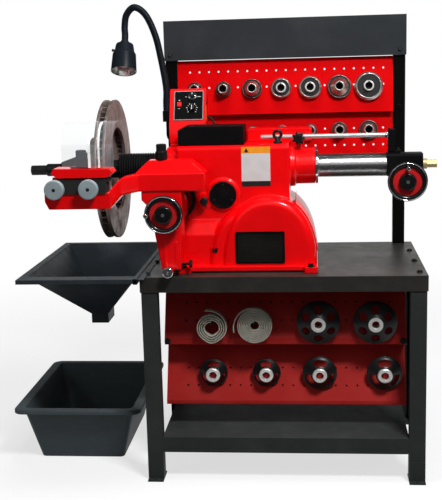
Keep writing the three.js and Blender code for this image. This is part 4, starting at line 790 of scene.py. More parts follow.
@dataclass(frozen=True)
class ClearSheet(Finish):
    """Clear acrylic sheet with painted reflections: its edges and bend show white, and a few bands of it show a
    window's reflection.
    """

    colour: Colour = (0.5, 0.57, 0.6)
    faint: float = 0.05
    # bands: the place, half width and level of each painted window reflection along X, in metres
    bands: tuple[Spot, ...] = ((-0.578, 0.004, 0.8), (-0.548, 0.003, 0.7))
    painted_reflection_top: float = 1.118

    def dress(self, tree: Tree) -> None:
        """A mostly clear alpha that rises towards grazing view, below a height and in the bands, as painted reflection;
        in the bands the colour turns white as well.
        """
        facing = tree.node("ShaderNodeLayerWeight", None, {"Blend": 0.35})
        alpha = Value(tree, facing.outputs["Facing"]) ** 4 * 0.4 + self.faint
        # painted reflection: a little more alpha below this height
        alpha = alpha + (1 - tree.along(Axis.Z).above(self.painted_reflection_top, 0.002)) * 0.06
        x = tree.along(Axis.X) - ORIGIN[0] * MM
        painted_reflection_stripes = x * 0
        for place, half, level in self.bands:
            inside = x.above(place - half, 0.0015) - x.above(place + half, 0.0015)
            painted_reflection_stripes = painted_reflection_stripes + inside * level
        haze = tree.noise(12, 4, 0.6).above(0.6, 0.4)
        tree.paint(
            Base_Color=tree.blend((painted_reflection_stripes * 3).clamped(), self.colour, (0.96, 0.97, 0.98)),
            Roughness=haze * 0.1 + 0.02,
            Alpha=(alpha + painted_reflection_stripes + haze * 0.01).clamped(),
            Specular_IOR_Level=0.5,
        )
        tree.bump(tree.noise(6, 1), 0.00002)


@dataclass(frozen=True)
class Plain(Finish):
    """A plain printed or glazed surface with slight tone and gloss variation."""

    colour: Colour = (0.8, 0.8, 0.78)
    roughness: float = 0.4

    def dress(self, tree: Tree) -> None:
        """Tone drift and a print's faint tooth."""
        drift = tree.noise(35, 4, 0.6)
        tree.paint(
            Base_Color=tree.blend(drift.above(0.5, 0.5), tuple(0.86 * c for c in self.colour), self.colour),
            Roughness=self.roughness + drift * 0.1,
        )
        tree.bump(tree.noise(500, 2), 0.00003)


RED = Enamel("red_enamel", "red_paint")
PALE_RED = Enamel("pale_red_enamel", "red_paint", (0.8, 0.02, 0.022), (0.7, 0.012, 0.014), 0.42, 0.2)
BENCH_BLACK = Powder("bench_black", "black_paint", (0.0165, 0.0155, 0.0135), (0.05, 0.046, 0.04), 0.36, sheen=0.32)
LEG_BLACK = Powder("leg_black", "black_paint", (0.026, 0.028, 0.0275), (0.045, 0.047, 0.046), 0.4, sheen=0.02)
HEADER_GREY = Powder("header_grey", "grey_paint", (0.024, 0.027, 0.03), (0.042, 0.046, 0.05), 0.4, sheen=0.02,
                     low=(0.003, 0.003, 0.0028))
PANEL_RED = Powder("panel_red", "red_panel", (0.54, 0.001, 0.002), (0.6, 0.004, 0.005), 0.34, sheen=0.03)
# painted shade: a darker copy of the panel red, standing for the bench top's shadow over the lower board
PANEL_RED_SHADED = Powder("panel_dark", "red_panel", (0.3, 0.014, 0.012), (0.36, 0.03, 0.026), 0.36, sheen=0.08)
# painted shade: a dark sheet colour for the shadow behind the lower board's holes
BROWN_PAINTED_SHADE = Plain("shade_brown", "red_panel", (0.022, 0.014, 0.013), 0.8)
# painted shade: black for the cones' bores, floors and grooves, where shade falls
CONE_SHADE_BLACK = Plain("cone_black", "red_panel", (0.004, 0.004, 0.004), 0.7)
# painted shade: a matte black for the arm's shadowed inside under the clamp plate
BED_SHADE_BLACK = Plain("bed_black", "black_steel", (0.004, 0.004, 0.004), 0.8)
HOPPER_GREY = Powder("hopper_grey", "black_paint", (0.022, 0.027, 0.032), (0.055, 0.063, 0.07), 0.36)
TUB = Moulded("tub_plastic", "tub_plastic", (0.046, 0.059, 0.065), (0.07, 0.085, 0.092))
GLOSS_BLACK = Moulded("gloss_black_plastic", "black_plastic", (0.008, 0.008, 0.009), (0.02, 0.02, 0.02), 0.2, 4e-5, 900)
COVER_BLACK = Powder("cover_black", "black_cover", (0.0035, 0.0035, 0.004), (0.01, 0.01, 0.01), 0.4, 0.00012, 600, 0.04)
FACE_BLACK = Powder("face_black", "black_face", (0.003, 0.003, 0.003), (0.006, 0.006, 0.006), 0.35, sheen=0.04)
WHEEL_BLACK = Enamel("wheel_black", "black_wheel", (0.006, 0.006, 0.0065), (0.004, 0.004, 0.0045), 0.22, 0.4)
WHEEL_RED = Enamel("wheel_red", "black_wheel", (0.5, 0.012, 0.014), (0.35, 0.008, 0.01), 0.35, 0.3)
STEEL = Turned("spindle_steel", "polished_steel", (0.55, 0.55, 0.56), (0.4, 0.4, 0.41), 0.16)
CHROME = Polished("chrome", "chrome")
DARK_CHROME = Oxide("dark_chrome", "black_steel", (0.012, 0.012, 0.012), (0.12, 0.12, 0.12), 0.3, 0.5)
BRASS = Turned("brass", "brass", (0.5, 0.4, 0.19), (0.3, 0.23, 0.12), 0.4, metal=0.45)
OXIDE = Oxide("black_oxide", "black_steel", (0.006, 0.006, 0.0055), (0.04, 0.038, 0.036), 0.38, 0.1)
HUB_STEEL = Polished("hub_steel", "polished_steel", (0.5, 0.5, 0.51), 0.28)
CONE_STEEL = Turned("cone_steel", "red_panel", (0.62, 0.6, 0.56), (0.4, 0.38, 0.35), 0.27, groove=0.00003, own_map=True)
CONE_DARK = Turned("cone_dark", "red_panel", (0.2, 0.19, 0.18), (0.12, 0.115, 0.11), 0.3, groove=0.00003, own_map=True)
ROD_STEEL = Turned("rod_steel", "polished_steel", (0.52, 0.52, 0.52), (0.42, 0.42, 0.42), 0.36, metal=0.55)
BRIGHT_RING = Turned("bright_ring", "red_panel", (0.74, 0.73, 0.71), (0.55, 0.54, 0.53), 0.32, metal=0.6, own_map=True)
MOTOR_IRON = Oxide("motor_iron", "motor_iron", (0.03, 0.03, 0.032), (0.1, 0.1, 0.1), 0.5, 0.5)
GRILLE_BLACK = Powder("grille_black", "black_cover", (0.009, 0.0085, 0.0075), (0.025, 0.024, 0.022), 0.4, sheen=0.06)
# painted shade: black discs and plugs that stand for the dark of holes
HOLE_SHADE_BLACK = Oxide("hole_black", "disc_iron", (0.004, 0.004, 0.004), (0.01, 0.01, 0.01), 0.7, 0)
GRIP_BLACK = Polished("grip_chrome", "chrome", (0.5, 0.5, 0.52), 0.12)
LABEL_BLACK = Plain("plate_dark", "red_paint", (0.012, 0.012, 0.012), 0.35)
BRASS_TIP = Polished("carbide_tip", "black_steel", (0.75, 0.6, 0.25), 0.25)
BORDER_GREY = Plain("border_grey", "black_face", (0.2, 0.21, 0.21), 0.5)
GLOSS_OXIDE = Oxide("gloss_oxide", "red_panel", (0.004, 0.004, 0.004), (0.03, 0.03, 0.03), 0.34, 0)
ALUMINIUM = Turned("aluminium", "aluminium", (0.27, 0.33, 0.35), (0.2, 0.24, 0.26), 0.5, Axis.Y, (-630, 986), metal=0.1)
ROTOR = Rotor("worn_disc", "disc_iron")
RUBBER = Rubber("boot_rubber", "black_rubber", (0.0045, 0.0045, 0.005), (0.016, 0.016, 0.016), 0.5)
CORD = Rubber("cord_sheath", "black_rubber", (0.01, 0.01, 0.011), (0.03, 0.03, 0.03), 0.4)
STRAP = Webbing("strap_webbing", "strap")
CLEAR = ClearSheet("clear_sheet", "clear_sheet")
SHADE = Powder("lamp_shade", "black_shade", (0.006, 0.0085, 0.0115), (0.013, 0.017, 0.022), 0.3, sheen=0.08)
REFLECTOR = Polished("reflector", "chrome", (0.85, 0.85, 0.83), 0.2)
BULB = Plain("bulb_glass", "chrome", (0.9, 0.9, 0.86), 0.1)
WHITE = Plain("white_print", "black_face", (0.8, 0.8, 0.8), 0.4)
AMBER = Plain("amber_print", "red_paint", (0.86, 0.3, 0.012), 0.35)
PALE = Plain("pale_plate", "red_paint", (0.62, 0.6, 0.6), 0.35)
ROCKER_RED = Moulded("rocker_red", "red_plastic", (0.65, 0.01, 0.012), (0.7, 0.05, 0.04), 0.22, 0.00002, 900)


class Edge(Enum):
    """How a piece's edges are finished, as the width of its bevel in millimetres."""

    RAW = 0
    CUT = 0.25
    MACHINED = 0.5
    SHEET = 1
    PRESSED = 2


@dataclass
class Assembly:
    """A sub-assembly, which builds its pieces and dresses them."""

    body: str = STAND
    made: list[str] = field(default_factory=list, init=False)

    def build(self) -> None:
        """Builds the sub-assembly's pieces."""
        raise NotImplementedError

    def add(
        self, name: str, shape: Skin | bpy.types.Mesh, finish: Finish, body: str | None = None, node: str = "",
        edge: Edge | float = Edge.RAW, smooth: float = 32, thick: float = 0, free: bool = False,
    ) -> Piece:
        """Makes a piece, dresses it, bevels its edges and lets it ride on its body.

        Args:
            name: the piece's name.
            shape: its surface.
            finish: its finish.
            body: the CAD body that it rides on; the assembly's own if none is given.
            node: the CAD node that it stands for.
            edge: the width of its bevel in millimetres, or one of the named edges.
            smooth: the angle in degrees above which an unbevelled edge stays sharp.
            thick: the thickness given to a sheet, half of it on either side.
            free: whether it rides on no body, because it bends between two.

        Returns:
            The piece.
        """
        mesh = shape.mesh(name) if isinstance(shape, Skin) else shape
        piece = bpy.data.objects.new(name, mesh)
        bpy.context.scene.collection.objects.link(piece)
        if thick > 0:
            sheet = piece.modifiers.new("Sheet", "SOLIDIFY")
            sheet.thickness, sheet.offset = thick * MM, 0
        mesh.materials.clear()
        mesh.materials.append(finish.material())
        mesh.shade_smooth()
        width = edge.value if isinstance(edge, Edge) else edge
        if width > 0:
            bevel = piece.modifiers.new("Edges", "BEVEL")
            bevel.width, bevel.segments = width * MM, 2
            bevel.limit_method, bevel.angle_limit = "ANGLE", math.radians(28)
            bevel.use_clamp_overlap, bevel.harden_normals = True, False
            piece.modifiers.new("Flats", "WEIGHTED_NORMAL").keep_sharp = False
        else:
            mesh.set_sharp_from_angle(angle=math.radians(smooth))
        if not free:
            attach(piece, body or self.body)
        if node:
            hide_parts(node)
        self.made.append(piece.name)
        return piece

    def turned(
        self, name: str, axis: Axis, centre: Pair, profile: Line, finish: Finish, soft: float = 0, count: int = 96,
        steps: int = 4, wave: Points | None = None, **how: Any,
    ) -> Piece:
        """Makes a turned piece; its arguments are those of revolved, and then those of add."""
        return self.add(name, revolved(axis, profile, centre, count, soft, steps, wave), finish, **how)

    def softened(self, node: str, finish: Finish, edge: Edge | float = Edge.SHEET) -> Piece:
        """A copy of a CAD node with its flat faces merged and its edges rounded, standing for that node."""
        mesh = frame["nodes"][node].data.copy()
        tidy(mesh, math.radians(0.6))
        body = next(b for b, nodes in frame["record"]["behaviour"]["bodies"].items() if node in nodes)
        return self.add(f"{node}_skin", mesh, finish, body, node, edge)

    def dressed(self, node: str, finish: Finish) -> None:
        """Gives a CAD node whose shape is right its finish."""
        target = frame["nodes"][node]
        target.data.materials.clear()
        target.data.materials.append(finish.material())

    def screw(
        self, name: str, axis: Axis, place: Spot, out: float, across: float, height: float, finish: Finish = OXIDE
    ) -> Piece:
        """A hexagon head on a washer.

        Args:
            name: the piece's name.
            axis: the axis that the screw points along.
            place: the middle of the washer's seat.
            out: 1 or -1, the way that the head stands.
            across: width across the flats.
            height: height of the head.
            finish: its finish.

        Returns:
            The piece.
        """
        along = place[axis.value]
        centre = tuple(p for i, p in enumerate(place) if i != axis.value)
        washer = across * 0.16
        seat, radius = along + out * washer, across * 0.82
        ends = (along + out * (washer - 0.05), along + out * (washer + height))
        head = extruded(axis, hexagon(across, centre), ends)
        disc = [(along, 0), (along, radius), (seat, radius), (seat, 0)]
        return self.add(name, Skin.joined(head, revolved(axis, disc, centre, 28)), finish, edge=Edge.CUT)


@dataclass
class Bench(Assembly):
    """The bench top with its bolts, and the legs with their shelf."""

    bolts: tuple[Pair, ...] = ((433, -240), (433, -60), (433, 120))
    top: float = 685
    across: float = 13
    head: float = 4.6

    def build(self) -> None:
        """Rounds the folded sheet and sets a bolt over each plain head."""
        self.softened("bench_top", BENCH_BLACK, Edge.PRESSED)
        self.softened("bench_frame", LEG_BLACK, Edge.SHEET)
        for i, (x, y) in enumerate(self.bolts):
            self.screw(f"bench_bolt_{i}", Axis.Z, (x, y, self.top), 1, self.across, self.head)


@dataclass
class BackFrame(Assembly):
    """The two posts with the bare header plate, and round screws on them."""

    screws: tuple[Spot, ...] = ((-408, 256, 1383), (408, 256, 1383), (-406, 262, 1181), (406, 262, 1181))
    dome: float = 4.4
    radius: float = 8

    def build(self) -> None:
        """Rounds the posts and the header, and adds domed screw heads."""
        self.softened("back_frame", HEADER_GREY, Edge.SHEET)
        height = np.linspace(0, 1, 9)
        for i, (x, front, z) in enumerate(self.screws):
            profile = np.stack([front - self.dome * height, self.radius * np.sqrt(1 - height**2)], axis=1)
            self.turned(f"frame_screw_{i}", Axis.Y, (x, z), np.vstack([[front, 0], profile]), OXIDE, count=32)


@dataclass
class PegBoard(Assembly):
    """A board of two leaning steps with rows of peg holes, and the loose tools that hang on its pegs."""

    node: str = "upper_peg_board"
    half_width: float = 384.7
    top: float = 1359
    back: float = 272
    lean: float = 24
    drop: float = 194
    gap: float = 4
    hems: Pair = (0, 0)
    rows: tuple[Pair, Pair] = ((41, 98), (54.5, 114))
    hang: float = 0
    lip: float = 22
    pitch: float = 34.5
    shift: float = 5
    columns: int = 21
    hole: float = 3.4
    finish: Finish = PANEL_RED
    sheet: float = 1.6
    facets: int = 6
    peg: float = 6
    peg_length: float = 62
    bore: float = 12.7
    stand: float = 2

    def slot_x(self, slot: float | Points) -> float | Points:
        """Where a slot lies along X; slots are counted from the left."""
        return (slot - (self.columns - 1) / 2) * self.pitch + self.shift

    def on_board(self, step: int, flat: Points, off: float = 0) -> Points:
        """Places of (across, down a step's slope), a distance off its front, as points of the bench's frame."""
        axes = leaning(self.lean, self.drop)
        edge = np.array([0, self.back, self.top - step * (self.drop + self.gap)])
        return edge + flat[..., :1] * axes[:, 0] - flat[..., 1:] * axes[:, 1] + off * axes[:, 2]

    def panel(self, step: int) -> Skin:
        """One perforated step: each hole has a cell, a ring of quads from its circle to the cell's rectangle.

        A cell's ring has corners at even shares of the rectangle's sides, joined to the circle at the same
        share of a full turn, so neighbouring cells share their corners.
        """
        rows = np.array(self.rows[step])
        down = np.array([0, rows.mean(), math.hypot(self.drop, self.lean)])
        across = (np.arange(self.columns + 1) - self.columns / 2) * self.pitch + self.shift
        across[0], across[-1] = -self.half_width, self.half_width
        share = np.arange(self.facets) / self.facets
        none, full = 0 * share, 0 * share + 1
        u, v = np.concatenate([full, 1 - share, none, share]), np.concatenate([share, full, 1 - share, none])
        angle = (np.arange(4 * self.facets) / (4 * self.facets) - 0.125) * 2 * np.pi
        row, column = (part.reshape(-1, 1) for part in np.indices((2, self.columns)))
        left, right, high, low = across[column], across[column + 1], down[row], down[row + 1]
        edge = np.stack([left + (right - left) * u, low + (high - low) * v], axis=-1)
        hole = [self.slot_x(column) + self.hole * np.cos(angle), rows[row] - self.hole * np.sin(angle)]
        cells = np.stack([np.stack(hole, axis=-1), edge], axis=1)
        return Skin.joined(*[Skin.grid(self.on_board(step, c, -self.sheet / 2), wrap_columns=True) for c in cells])

    def folds(self) -> Skin:
        """The strips between and round the steps: hanging flange, hems, returns and bottom lip."""
        front, half = self.back - self.lean, self.sheet / 2
        upper = self.top - self.drop
        lower = upper - self.gap - self.drop
        face, foot = front + half, lower - self.hems[1] + half
        lines = [[(face, lower), (front + self.lip, foot)]]
        if self.hems[0]:
            lines = [[(face, upper), (face, upper - self.hems[0]), (self.back, upper - self.gap)],
                     [(face, lower), (face, foot), (front + self.lip, foot)]]
        if self.hang:
            lines.append([(self.back + half, self.top), (self.back + half, self.hang)])
        across = np.linspace(-self.half_width, self.half_width, 21)[None]
        bent = [filleted(line, 3) for line in lines]
        return Skin.joined(*[Skin.grid(laid(Axis.X, across, line[:, :1], line[:, 1:])) for line in bent])

    def hung(self, skin: Skin, step: int, row: float, slot: float, sink: float, outer: float = -1) -> Skin:
        """A skin made about a peg, with Z out of the board and Y up, put where it hangs.

        Args:
            skin: the skin.
            step: the step that it hangs on.
            row: how far down the slope its peg is.
            slot: the peg's slot.
            sink: how far it hangs below the peg's middle.
            outer: its outer radius if its peg is level, or -1 where the peg stands square to the board.

        Returns:
            The skin in the bench's frame.
        """
        square = outer < 0
        spot = self.on_board(step, np.array([self.slot_x(slot), row + sink * square]))
        if square:
            return skin.turned(leaning(self.lean, self.drop)).moved(spot)
        fall = np.array([0, (sink + outer) * self.lean / self.drop, sink])
        return skin.turned(np.array([[1, 0, 0], [0, 0, -1], [0, 1, 0]])).moved(spot - fall)

    def pegged(self, name: str, step: int, row: float, slot: float, level: bool) -> None:
        """Adds a round peg with a domed end and a nut behind the board."""
        turn_in = np.linspace(0, np.pi / 2, 7)
        thin = self.peg / 2
        tip = np.stack([self.peg_length - thin + thin * np.sin(turn_in), thin * np.cos(turn_in)], axis=1)
        peg = revolved(Axis.Z, np.vstack([[[-3, 0], [-3, thin]], tip]), (0, thin), 24)
        self.add(name, self.hung(peg, step, row, slot, 0, 0 if level else -1), OXIDE)

    def build(self) -> None:
        """Makes the sheet; the tools are added by the boards that carry them."""
        skin = Skin.joined(self.panel(0), self.panel(1), self.folds())
        self.add(self.node + "_sheet", skin, self.finish, node=self.node, edge=0.22, thick=self.sheet)


@dataclass
class UpperBoard(PegBoard):
    """The upper board with two rows of bright centring cones."""

    sizes: tuple[tuple[float, ...], ...] = ((56, 56, 71, 74, 82, 84, 101), (43, 46, 49, 59, 68))
    slots: tuple[tuple[float, ...], ...] = ((0.5, 3.5, 6.5, 9.5, 12.5, 15.5, 18.5), (6.5, 9.5, 12.5, 15.5, 18.5))
    dished: tuple[int, ...] = (3, 4, 6)
    length: float = 34
    # key: height of the black notch over each bore, painted shade for the peg in shadow there
    key: float = 4

    def cup(self, front: float, key: float, notch: Pair) -> Skin:
        """The inside of a bore, a floor and a wall painted black as shade, with a black notch in the face over it,
        painted shade for the peg in shadow there.
        """
        floor, bore = self.stand + 1, self.bore
        wall = [(floor, 0), (floor, bore + 0.8), (front, bore + 0.8), (front, bore - 0.2), (floor + 1, bore - 0.2),
                (floor + 1, 0)]
        return Skin.joined(lathed(wall, 64), boxed((-self.key / 2, self.key / 2), (bore - 1, bore + key), notch))

    def dish(self, outer: float) -> list[tuple[str, Skin, Finish]]:
        """A cone seen from its wide end: a bevelled rim, a floor painted black as shade and a bright hub."""
        back, bore = self.stand, self.bore
        rim = [
            (back, bore + 2), (back, outer - 1), (back + 3, outer), (back + 10, outer), (back + 17, outer * 0.87),
            (back + 17, outer * 0.82), (back + 13, outer * 0.8), (back + 13, bore + 2), (back, bore + 2),
        ]
        floor, wide = (back + 12.6, back + 13.5), outer * 0.81
        floor_ring = [(floor[0], bore), (floor[1], bore), (floor[1], wide), (floor[0], wide), (floor[0], bore)]
        hub = [(back + 8, bore), (back + 8, bore + 6), (back + 20, bore + 6), (back + 22, bore + 4), (back + 22, bore),
               (back + 8, bore)]
        return [("rim", lathed(rim, 96, 1, 3), CONE_STEEL), ("floor", lathed(floor_ring, 64), CONE_SHADE_BLACK),
                ("hub", lathed(hub, 64, 0.8, 3), BRIGHT_RING),
                ("bore", self.cup(back + 21, self.key, (back + 20, back + 22.2)), CONE_SHADE_BLACK)]

    def nose(self, outer: float) -> list[tuple[str, Skin, Finish]]:
        """A cone seen from its narrow end: a dark rim, a groove painted black as shade and a bright taper down to the
        bore.
        """
        back, bore = self.stand, self.bore
        front = back + self.length
        rim = [
            (back, bore + 2), (back, outer - 1), (back + 3, outer), (back + 9, outer), (back + 11, outer * 0.95),
            (back + 11, outer * 0.9), (back + 8, outer * 0.88), (back + 8, bore + 2), (back, bore + 2),
        ]
        floor, wide = (back + 7.8, back + 8.4), outer * 0.89
        groove = [(floor[0], bore), (floor[1], bore), (floor[1], wide), (floor[0], wide), (floor[0], bore)]
        taper = [(back + 8, bore), (back + 8, outer * 0.8), (back + 12, outer * 0.78), (front, bore + 4), (front, bore),
                 (back + 8, bore)]
        return [("rim", lathed(rim, 96, 1, 3), CONE_DARK), ("floor", lathed(groove, 64), CONE_SHADE_BLACK),
                ("taper", lathed(taper, 96, 1, 4), CONE_STEEL),
                ("bore", self.cup(front - 1, self.key - 1, (front - 6, front + 0.2)), CONE_SHADE_BLACK)]

    def build(self) -> None:
        """Adds the sheet, a black rail behind its gap as painted shade, and each cone on its peg."""
        super().build()
        # painted shade: a black rail just behind the gap between the steps stands for the shadow in it
        gap = self.top - self.drop - self.gap / 2
        wide = self.half_width - 1
        gap_shade = boxed((-wide, wide), (self.back + 1.2, self.back + 2.4), (gap - 14, gap + 10))
        self.add("board_rail", gap_shade, OXIDE)
        sink = self.bore - self.peg + 0.5
        for step, row in enumerate((self.rows[0][1], self.rows[1][0])):
            for i, (slot, size) in enumerate(zip(self.slots[step], self.sizes[step])):
                shape = self.dish if step == 0 and i in self.dished else self.nose
                for part, skin, finish in shape(size / 2):
                    self.add(f"cone_{part}_{step}_{i}", self.hung(skin, step, row, slot, sink), finish)
                self.pegged(f"upper_peg_{step}_{i}", step, row, slot, False)


@dataclass
class LowerBoard(PegBoard):
    """The lower board with disc and cup adaptors, and two damper straps rolled up on pegs."""

    node: str = "lower_peg_board"
    half_width: float = 398
    top: float = 631
    back: float = -108
    lean: float = 80
    drop: float = 176
    gap: float = 41
    hems: Pair = (22, 14)
    rows: tuple[Pair, Pair] = ((73, 134), (83, 142))
    hang: float = 681.7
    pitch: float = 35.36
    shift: float = 9.5
    columns: int = 20
    # painted shade: the darker panel red stands for the bench top's shadow
    finish: Finish = PANEL_RED_SHADED
    cups: tuple[Pair, ...] = ((2.5, 95), (7.5, 95), (12.5, 114), (18.5, 116))
    discs: Pair = (12.4, 17.6)
    disc_row: float = 124
    disc_radius: float = 71
    disc_rim: float = 12
    disc_depth: float = 44
    windows: int = 6
    window: float = 13.5
    window_circle: float = 46
    hub: float = 25
    cup_depth: float = 42
    cup_rim: float = 9
    cup_slots: int = 3
    strap: float = 3.9
    strap_width: float = 26
    loose: Spot = (20, 7.3, 4.05)
    rolled: Spot = (12, 5.5, 8.3)
    strap_slots: Pair = (2.5, 6.5)
    tail: float = 11

    def disc_plate(self) -> Skin:
        """The dished web of a disc adaptor with its round windows.

        Each window has a sector of the ring; a ring of quads joins the window's circle to the sector's outline.
        Height over the board falls evenly from the hub to the rim.
        """
        steps = 10
        outer, inner = self.disc_radius - 2, self.hub - 2
        half = np.pi / self.windows
        share, one = np.arange(steps) / steps, np.ones(steps)
        inwards, outwards = outer + (inner - outer) * share, inner + (outer - inner) * share
        radius = np.concatenate([outer * one, inwards, inner * one, outwards])
        around = np.concatenate([-half + 2 * half * share, half * one, half - 2 * half * share, -half * one])
        edge = np.stack([radius * np.cos(around), radius * np.sin(around)], axis=1)
        middle = np.array([self.window_circle, 0])
        off = edge - middle
        window = middle + self.window * off / np.linalg.norm(off, axis=1, keepdims=True)
        cell = np.stack([window, window * 0.4 + edge * 0.6, edge])
        reach = np.linalg.norm(cell, axis=2)
        height = self.disc_depth - 3 + (reach - self.hub) / (outer - self.hub) * (self.disc_rim - self.disc_depth + 1)
        solid = np.concatenate([cell, height[..., None]], axis=-1)
        turns = [turn(Axis.Z, np.pi / 2 + i * 2 * half) for i in range(self.windows)]
        return Skin.joined(*[Skin.grid(solid @ matrix.T, wrap_columns=True) for matrix in turns])

    def cup_shell(self, outer: float) -> Skin:
        """A cone of quads from the rim to the hub, without the quads of its three windows."""
        front, columns = self.cup_depth - 10, 72
        share = np.linspace(0, 1, 13)[:, None]
        height = self.cup_rim - 2 + (front - self.cup_rim + 2) * share
        radius = outer - 3 + (self.hub - outer + 2) * share
        angle = np.arange(columns) / columns * 2 * np.pi
        skin = Skin.grid(laid(Axis.Z, height, radius * np.cos(angle), radius * np.sin(angle)), wrap_columns=True)
        row, column = np.indices((12, columns))
        sector = (column + columns // 4 * 3 + 6) % (columns // self.cup_slots)
        keep = ~((row >= 3) & (row < 10) & (sector < 12)).ravel()
        return Skin(skin.places, [skin.faces[0][keep]], [skin.uvs[0][keep]])

    def strap_skin(self, shape: Spot, slack: float, lift: float) -> Skin:
        """A flat strap wound in one spiral.

        At turn t the middle line's radius is inner plus pitch times t, and the last third of a turn stands
        off by the tail; slack draws the lower half together with the third power of the sine, as a roll sags.

        Args:
            shape: inner radius, pitch and turns.
            slack: the share by which the bottom is drawn in.
            lift: the clearance from the board.

        Returns:
            The closed skin, with U along the strap.
        """
        inner, pitch, turns = shape
        steps = int(turns * 72) + 1
        t = np.linspace(0, turns, steps)
        angle = np.pi / 2 + t * 2 * np.pi
        flare = np.maximum(t - turns + 0.3, 0) / 0.3
        radius = inner + pitch * t + self.strap / 2 + self.tail * flare**1.5
        sag = np.maximum(-np.sin(angle), 0) ** 3
        x = radius * np.cos(angle) * (1 - slack * sag)
        y = radius * np.sin(angle) * (1 + slack * 0.12 * sag)
        half, deep = self.strap / 2 - 0.1, self.strap_width / 2
        outline = rounded_rectangle((-half, half), (-deep, deep), 1.7, 3)
        return swept(outline, np.stack([x, y, np.full(steps, lift + deep)], axis=1), (0, 0, 1))

    def adaptor(
        self, kind: str, i: int, web: tuple[str, Skin, Edge | float, float], rim: Skin, hub: Skin,
        at: tuple[float, ...],
    ) -> None:
        """Adds an adaptor: its web (name, shape, edge, thickness), its black rim, its bright hub and its peg."""
        part, shape, edge, thick = web
        self.add(f"{kind}_{part}_{i}", self.hung(shape, *at), GLOSS_OXIDE, edge=edge, thick=thick)
        self.add(f"{kind}_rim_{i}", self.hung(rim, *at), GLOSS_OXIDE)
        self.add(f"{kind}_hub_{i}", self.hung(hub, *at), BRIGHT_RING)
        self.pegged(f"{kind}_peg_{i}", *at[:3], True)

    def build(self) -> None:
        """Adds the sheet, its end screws, each adaptor and strap on its peg, and a dark sheet of painted shade behind
        each step.
        """
        super().build()
        sink = self.bore - self.peg + 0.5
        back, bore, hub = self.stand, self.bore, self.hub
        outer, deep, lip = self.disc_radius, self.disc_depth, self.disc_rim
        rim = lathed([(back, outer - 9), (back, outer), (lip, outer), (lip, outer - 9), (back, outer - 9)], 96, 1.5)
        ring = lathed([(back + 4, bore), (back + 4, hub - 1), (deep, hub - 1), (deep, bore), (back + 4, bore)], 64, 1.2)
        for i, slot in enumerate(self.discs):
            at = (0, self.disc_row, slot, sink, outer)
            self.adaptor("disc", i, ("web", self.disc_plate(), Edge.MACHINED, 5), rim, ring, at)
        deep, lip = self.cup_depth, self.cup_rim
        ring = lathed([(deep - 16, bore), (deep - 16, hub - 1), (deep - 3, hub - 1), (deep, hub - 4), (deep, bore),
                       (deep - 16, bore)], 64, 1)
        for i, (slot, diameter) in enumerate(self.cups):
            outer = diameter / 2
            rim = [(back, outer - 6), (back, outer), (lip, outer), (lip + 2, outer - 6), (back, outer - 6)]
            rim = lathed(rim, 96, 1.5)
            at = (1, self.rows[1][0], slot, sink, outer)
            self.adaptor("cup", i, ("shell", self.cup_shell(outer), 0.4, 4), rim, ring, at)
        row = self.rows[0][1]
        shapes = (self.loose, self.rolled)
        for name, shape, slot, slack in zip(("loose", "rolled"), shapes, self.strap_slots, (0.3, 0)):
            fall = shape[0] - self.peg - 0.3
            outer = shape[0] + shape[1] * shape[2] + self.strap
            roll = self.hung(self.strap_skin(shape, slack, 1.5), 0, row, slot, fall, outer)
            self.add(f"{name}_band_strap", roll, STRAP, node=f"{name}_band", smooth=50)
            self.pegged(f"{name}_band_peg", 0, row, slot, True)
        screw_z, slope = self.top - self.drop - self.hems[0] / 2, math.hypot(self.drop, self.lean)
        for i, x in enumerate((10 - self.half_width, self.half_width - 10)):
            self.screw(f"hem_screw_{i}", Axis.Y, (x, self.back - self.lean, screw_z), -1, 13, 4)
        # painted shade: a dark sheet just behind each step stands for the shadow seen through its holes
        across, down = np.meshgrid((-self.half_width + 6, self.half_width - 6), (6, slope - 6), indexing="ij")
        for step in (0, 1):
            flat = self.on_board(step, np.stack([across, down], axis=-1), -self.sheet / 2 - 5)
            self.add(f"board_shade_{step}", Skin.grid(flat), BROWN_PAINTED_SHADE, thick=1)


@dataclass
class Hopper(Assembly):
    """The chip hopper on the bench's end."""

    body: str = "hopper"

    def build(self) -> None:
        """Rounds the folded sheet."""
        self.softened("chip_hopper", HOPPER_GREY, Edge.SHEET)
        self.add("hopper_lip_end", boxed((-469, -455.6), (-340, 330), (671, 690.4)), HOPPER_GREY, edge=Edge.SHEET)


@dataclass
class Tub(Assembly):
    """The plastic chip tub, with a rolled lip and tapered walls."""

    body: str = "tub"
    x: Pair = (-938, -495)
    y: Pair = (-181, 406)
    height: float = 195
    lip: float = 28
    lip_drop: float = 14
    wall: float = 4
    taper: float = 47
    corner: float = 34
    floor: float = 5

    def build(self) -> None:
        """One skin: up the outer wall, round the lip, down the inner wall and over the floor."""
        low = self.lip + self.taper
        profile = filleted([
            (low + 12, 0), (low, 0), (self.lip, self.height - self.wall), (self.wall, self.height - self.wall),
            (self.wall, self.height - self.lip_drop), (0, self.height - self.lip_drop), (0, self.height),
            (self.lip + self.wall, self.height), (low + self.wall, self.floor), (low + self.wall + 14, self.floor),
        ], 5, 5)
        corner = lambda inset: max(self.corner - inset / 2, self.lip_drop)
        rings = [(z, rounded_rectangle(*drawn_in(self.x, self.y, i), corner(i), 10)) for i, z in profile]
        self.add("tub_shell", lofted([laid(Axis.Z, z, *ring.T) for z, ring in rings]), TUB, node="chip_tub")


@dataclass
class Casting(Assembly):
    """A part that was cast: overlapping skins melted into one by a voxel remesh, then smoothed."""

    voxel: float = 2.6
    rounds: int = 6

    def cast(self, name: str, skins: list[Skin], finish: Finish, node: str) -> Piece:
        """Makes one casting of several closed skins that overlap, standing for a CAD node."""
        piece = self.add(name, Skin.joined(*skins), finish, node=node, smooth=180)
        melt = piece.modifiers.new("Melt", "REMESH")
        melt.mode, melt.voxel_size, melt.use_smooth_shade = "VOXEL", self.voxel * MM, True
        soften = piece.modifiers.new("Soften", "SMOOTH")
        soften.factor, soften.iterations = 0.6, self.rounds
        return piece


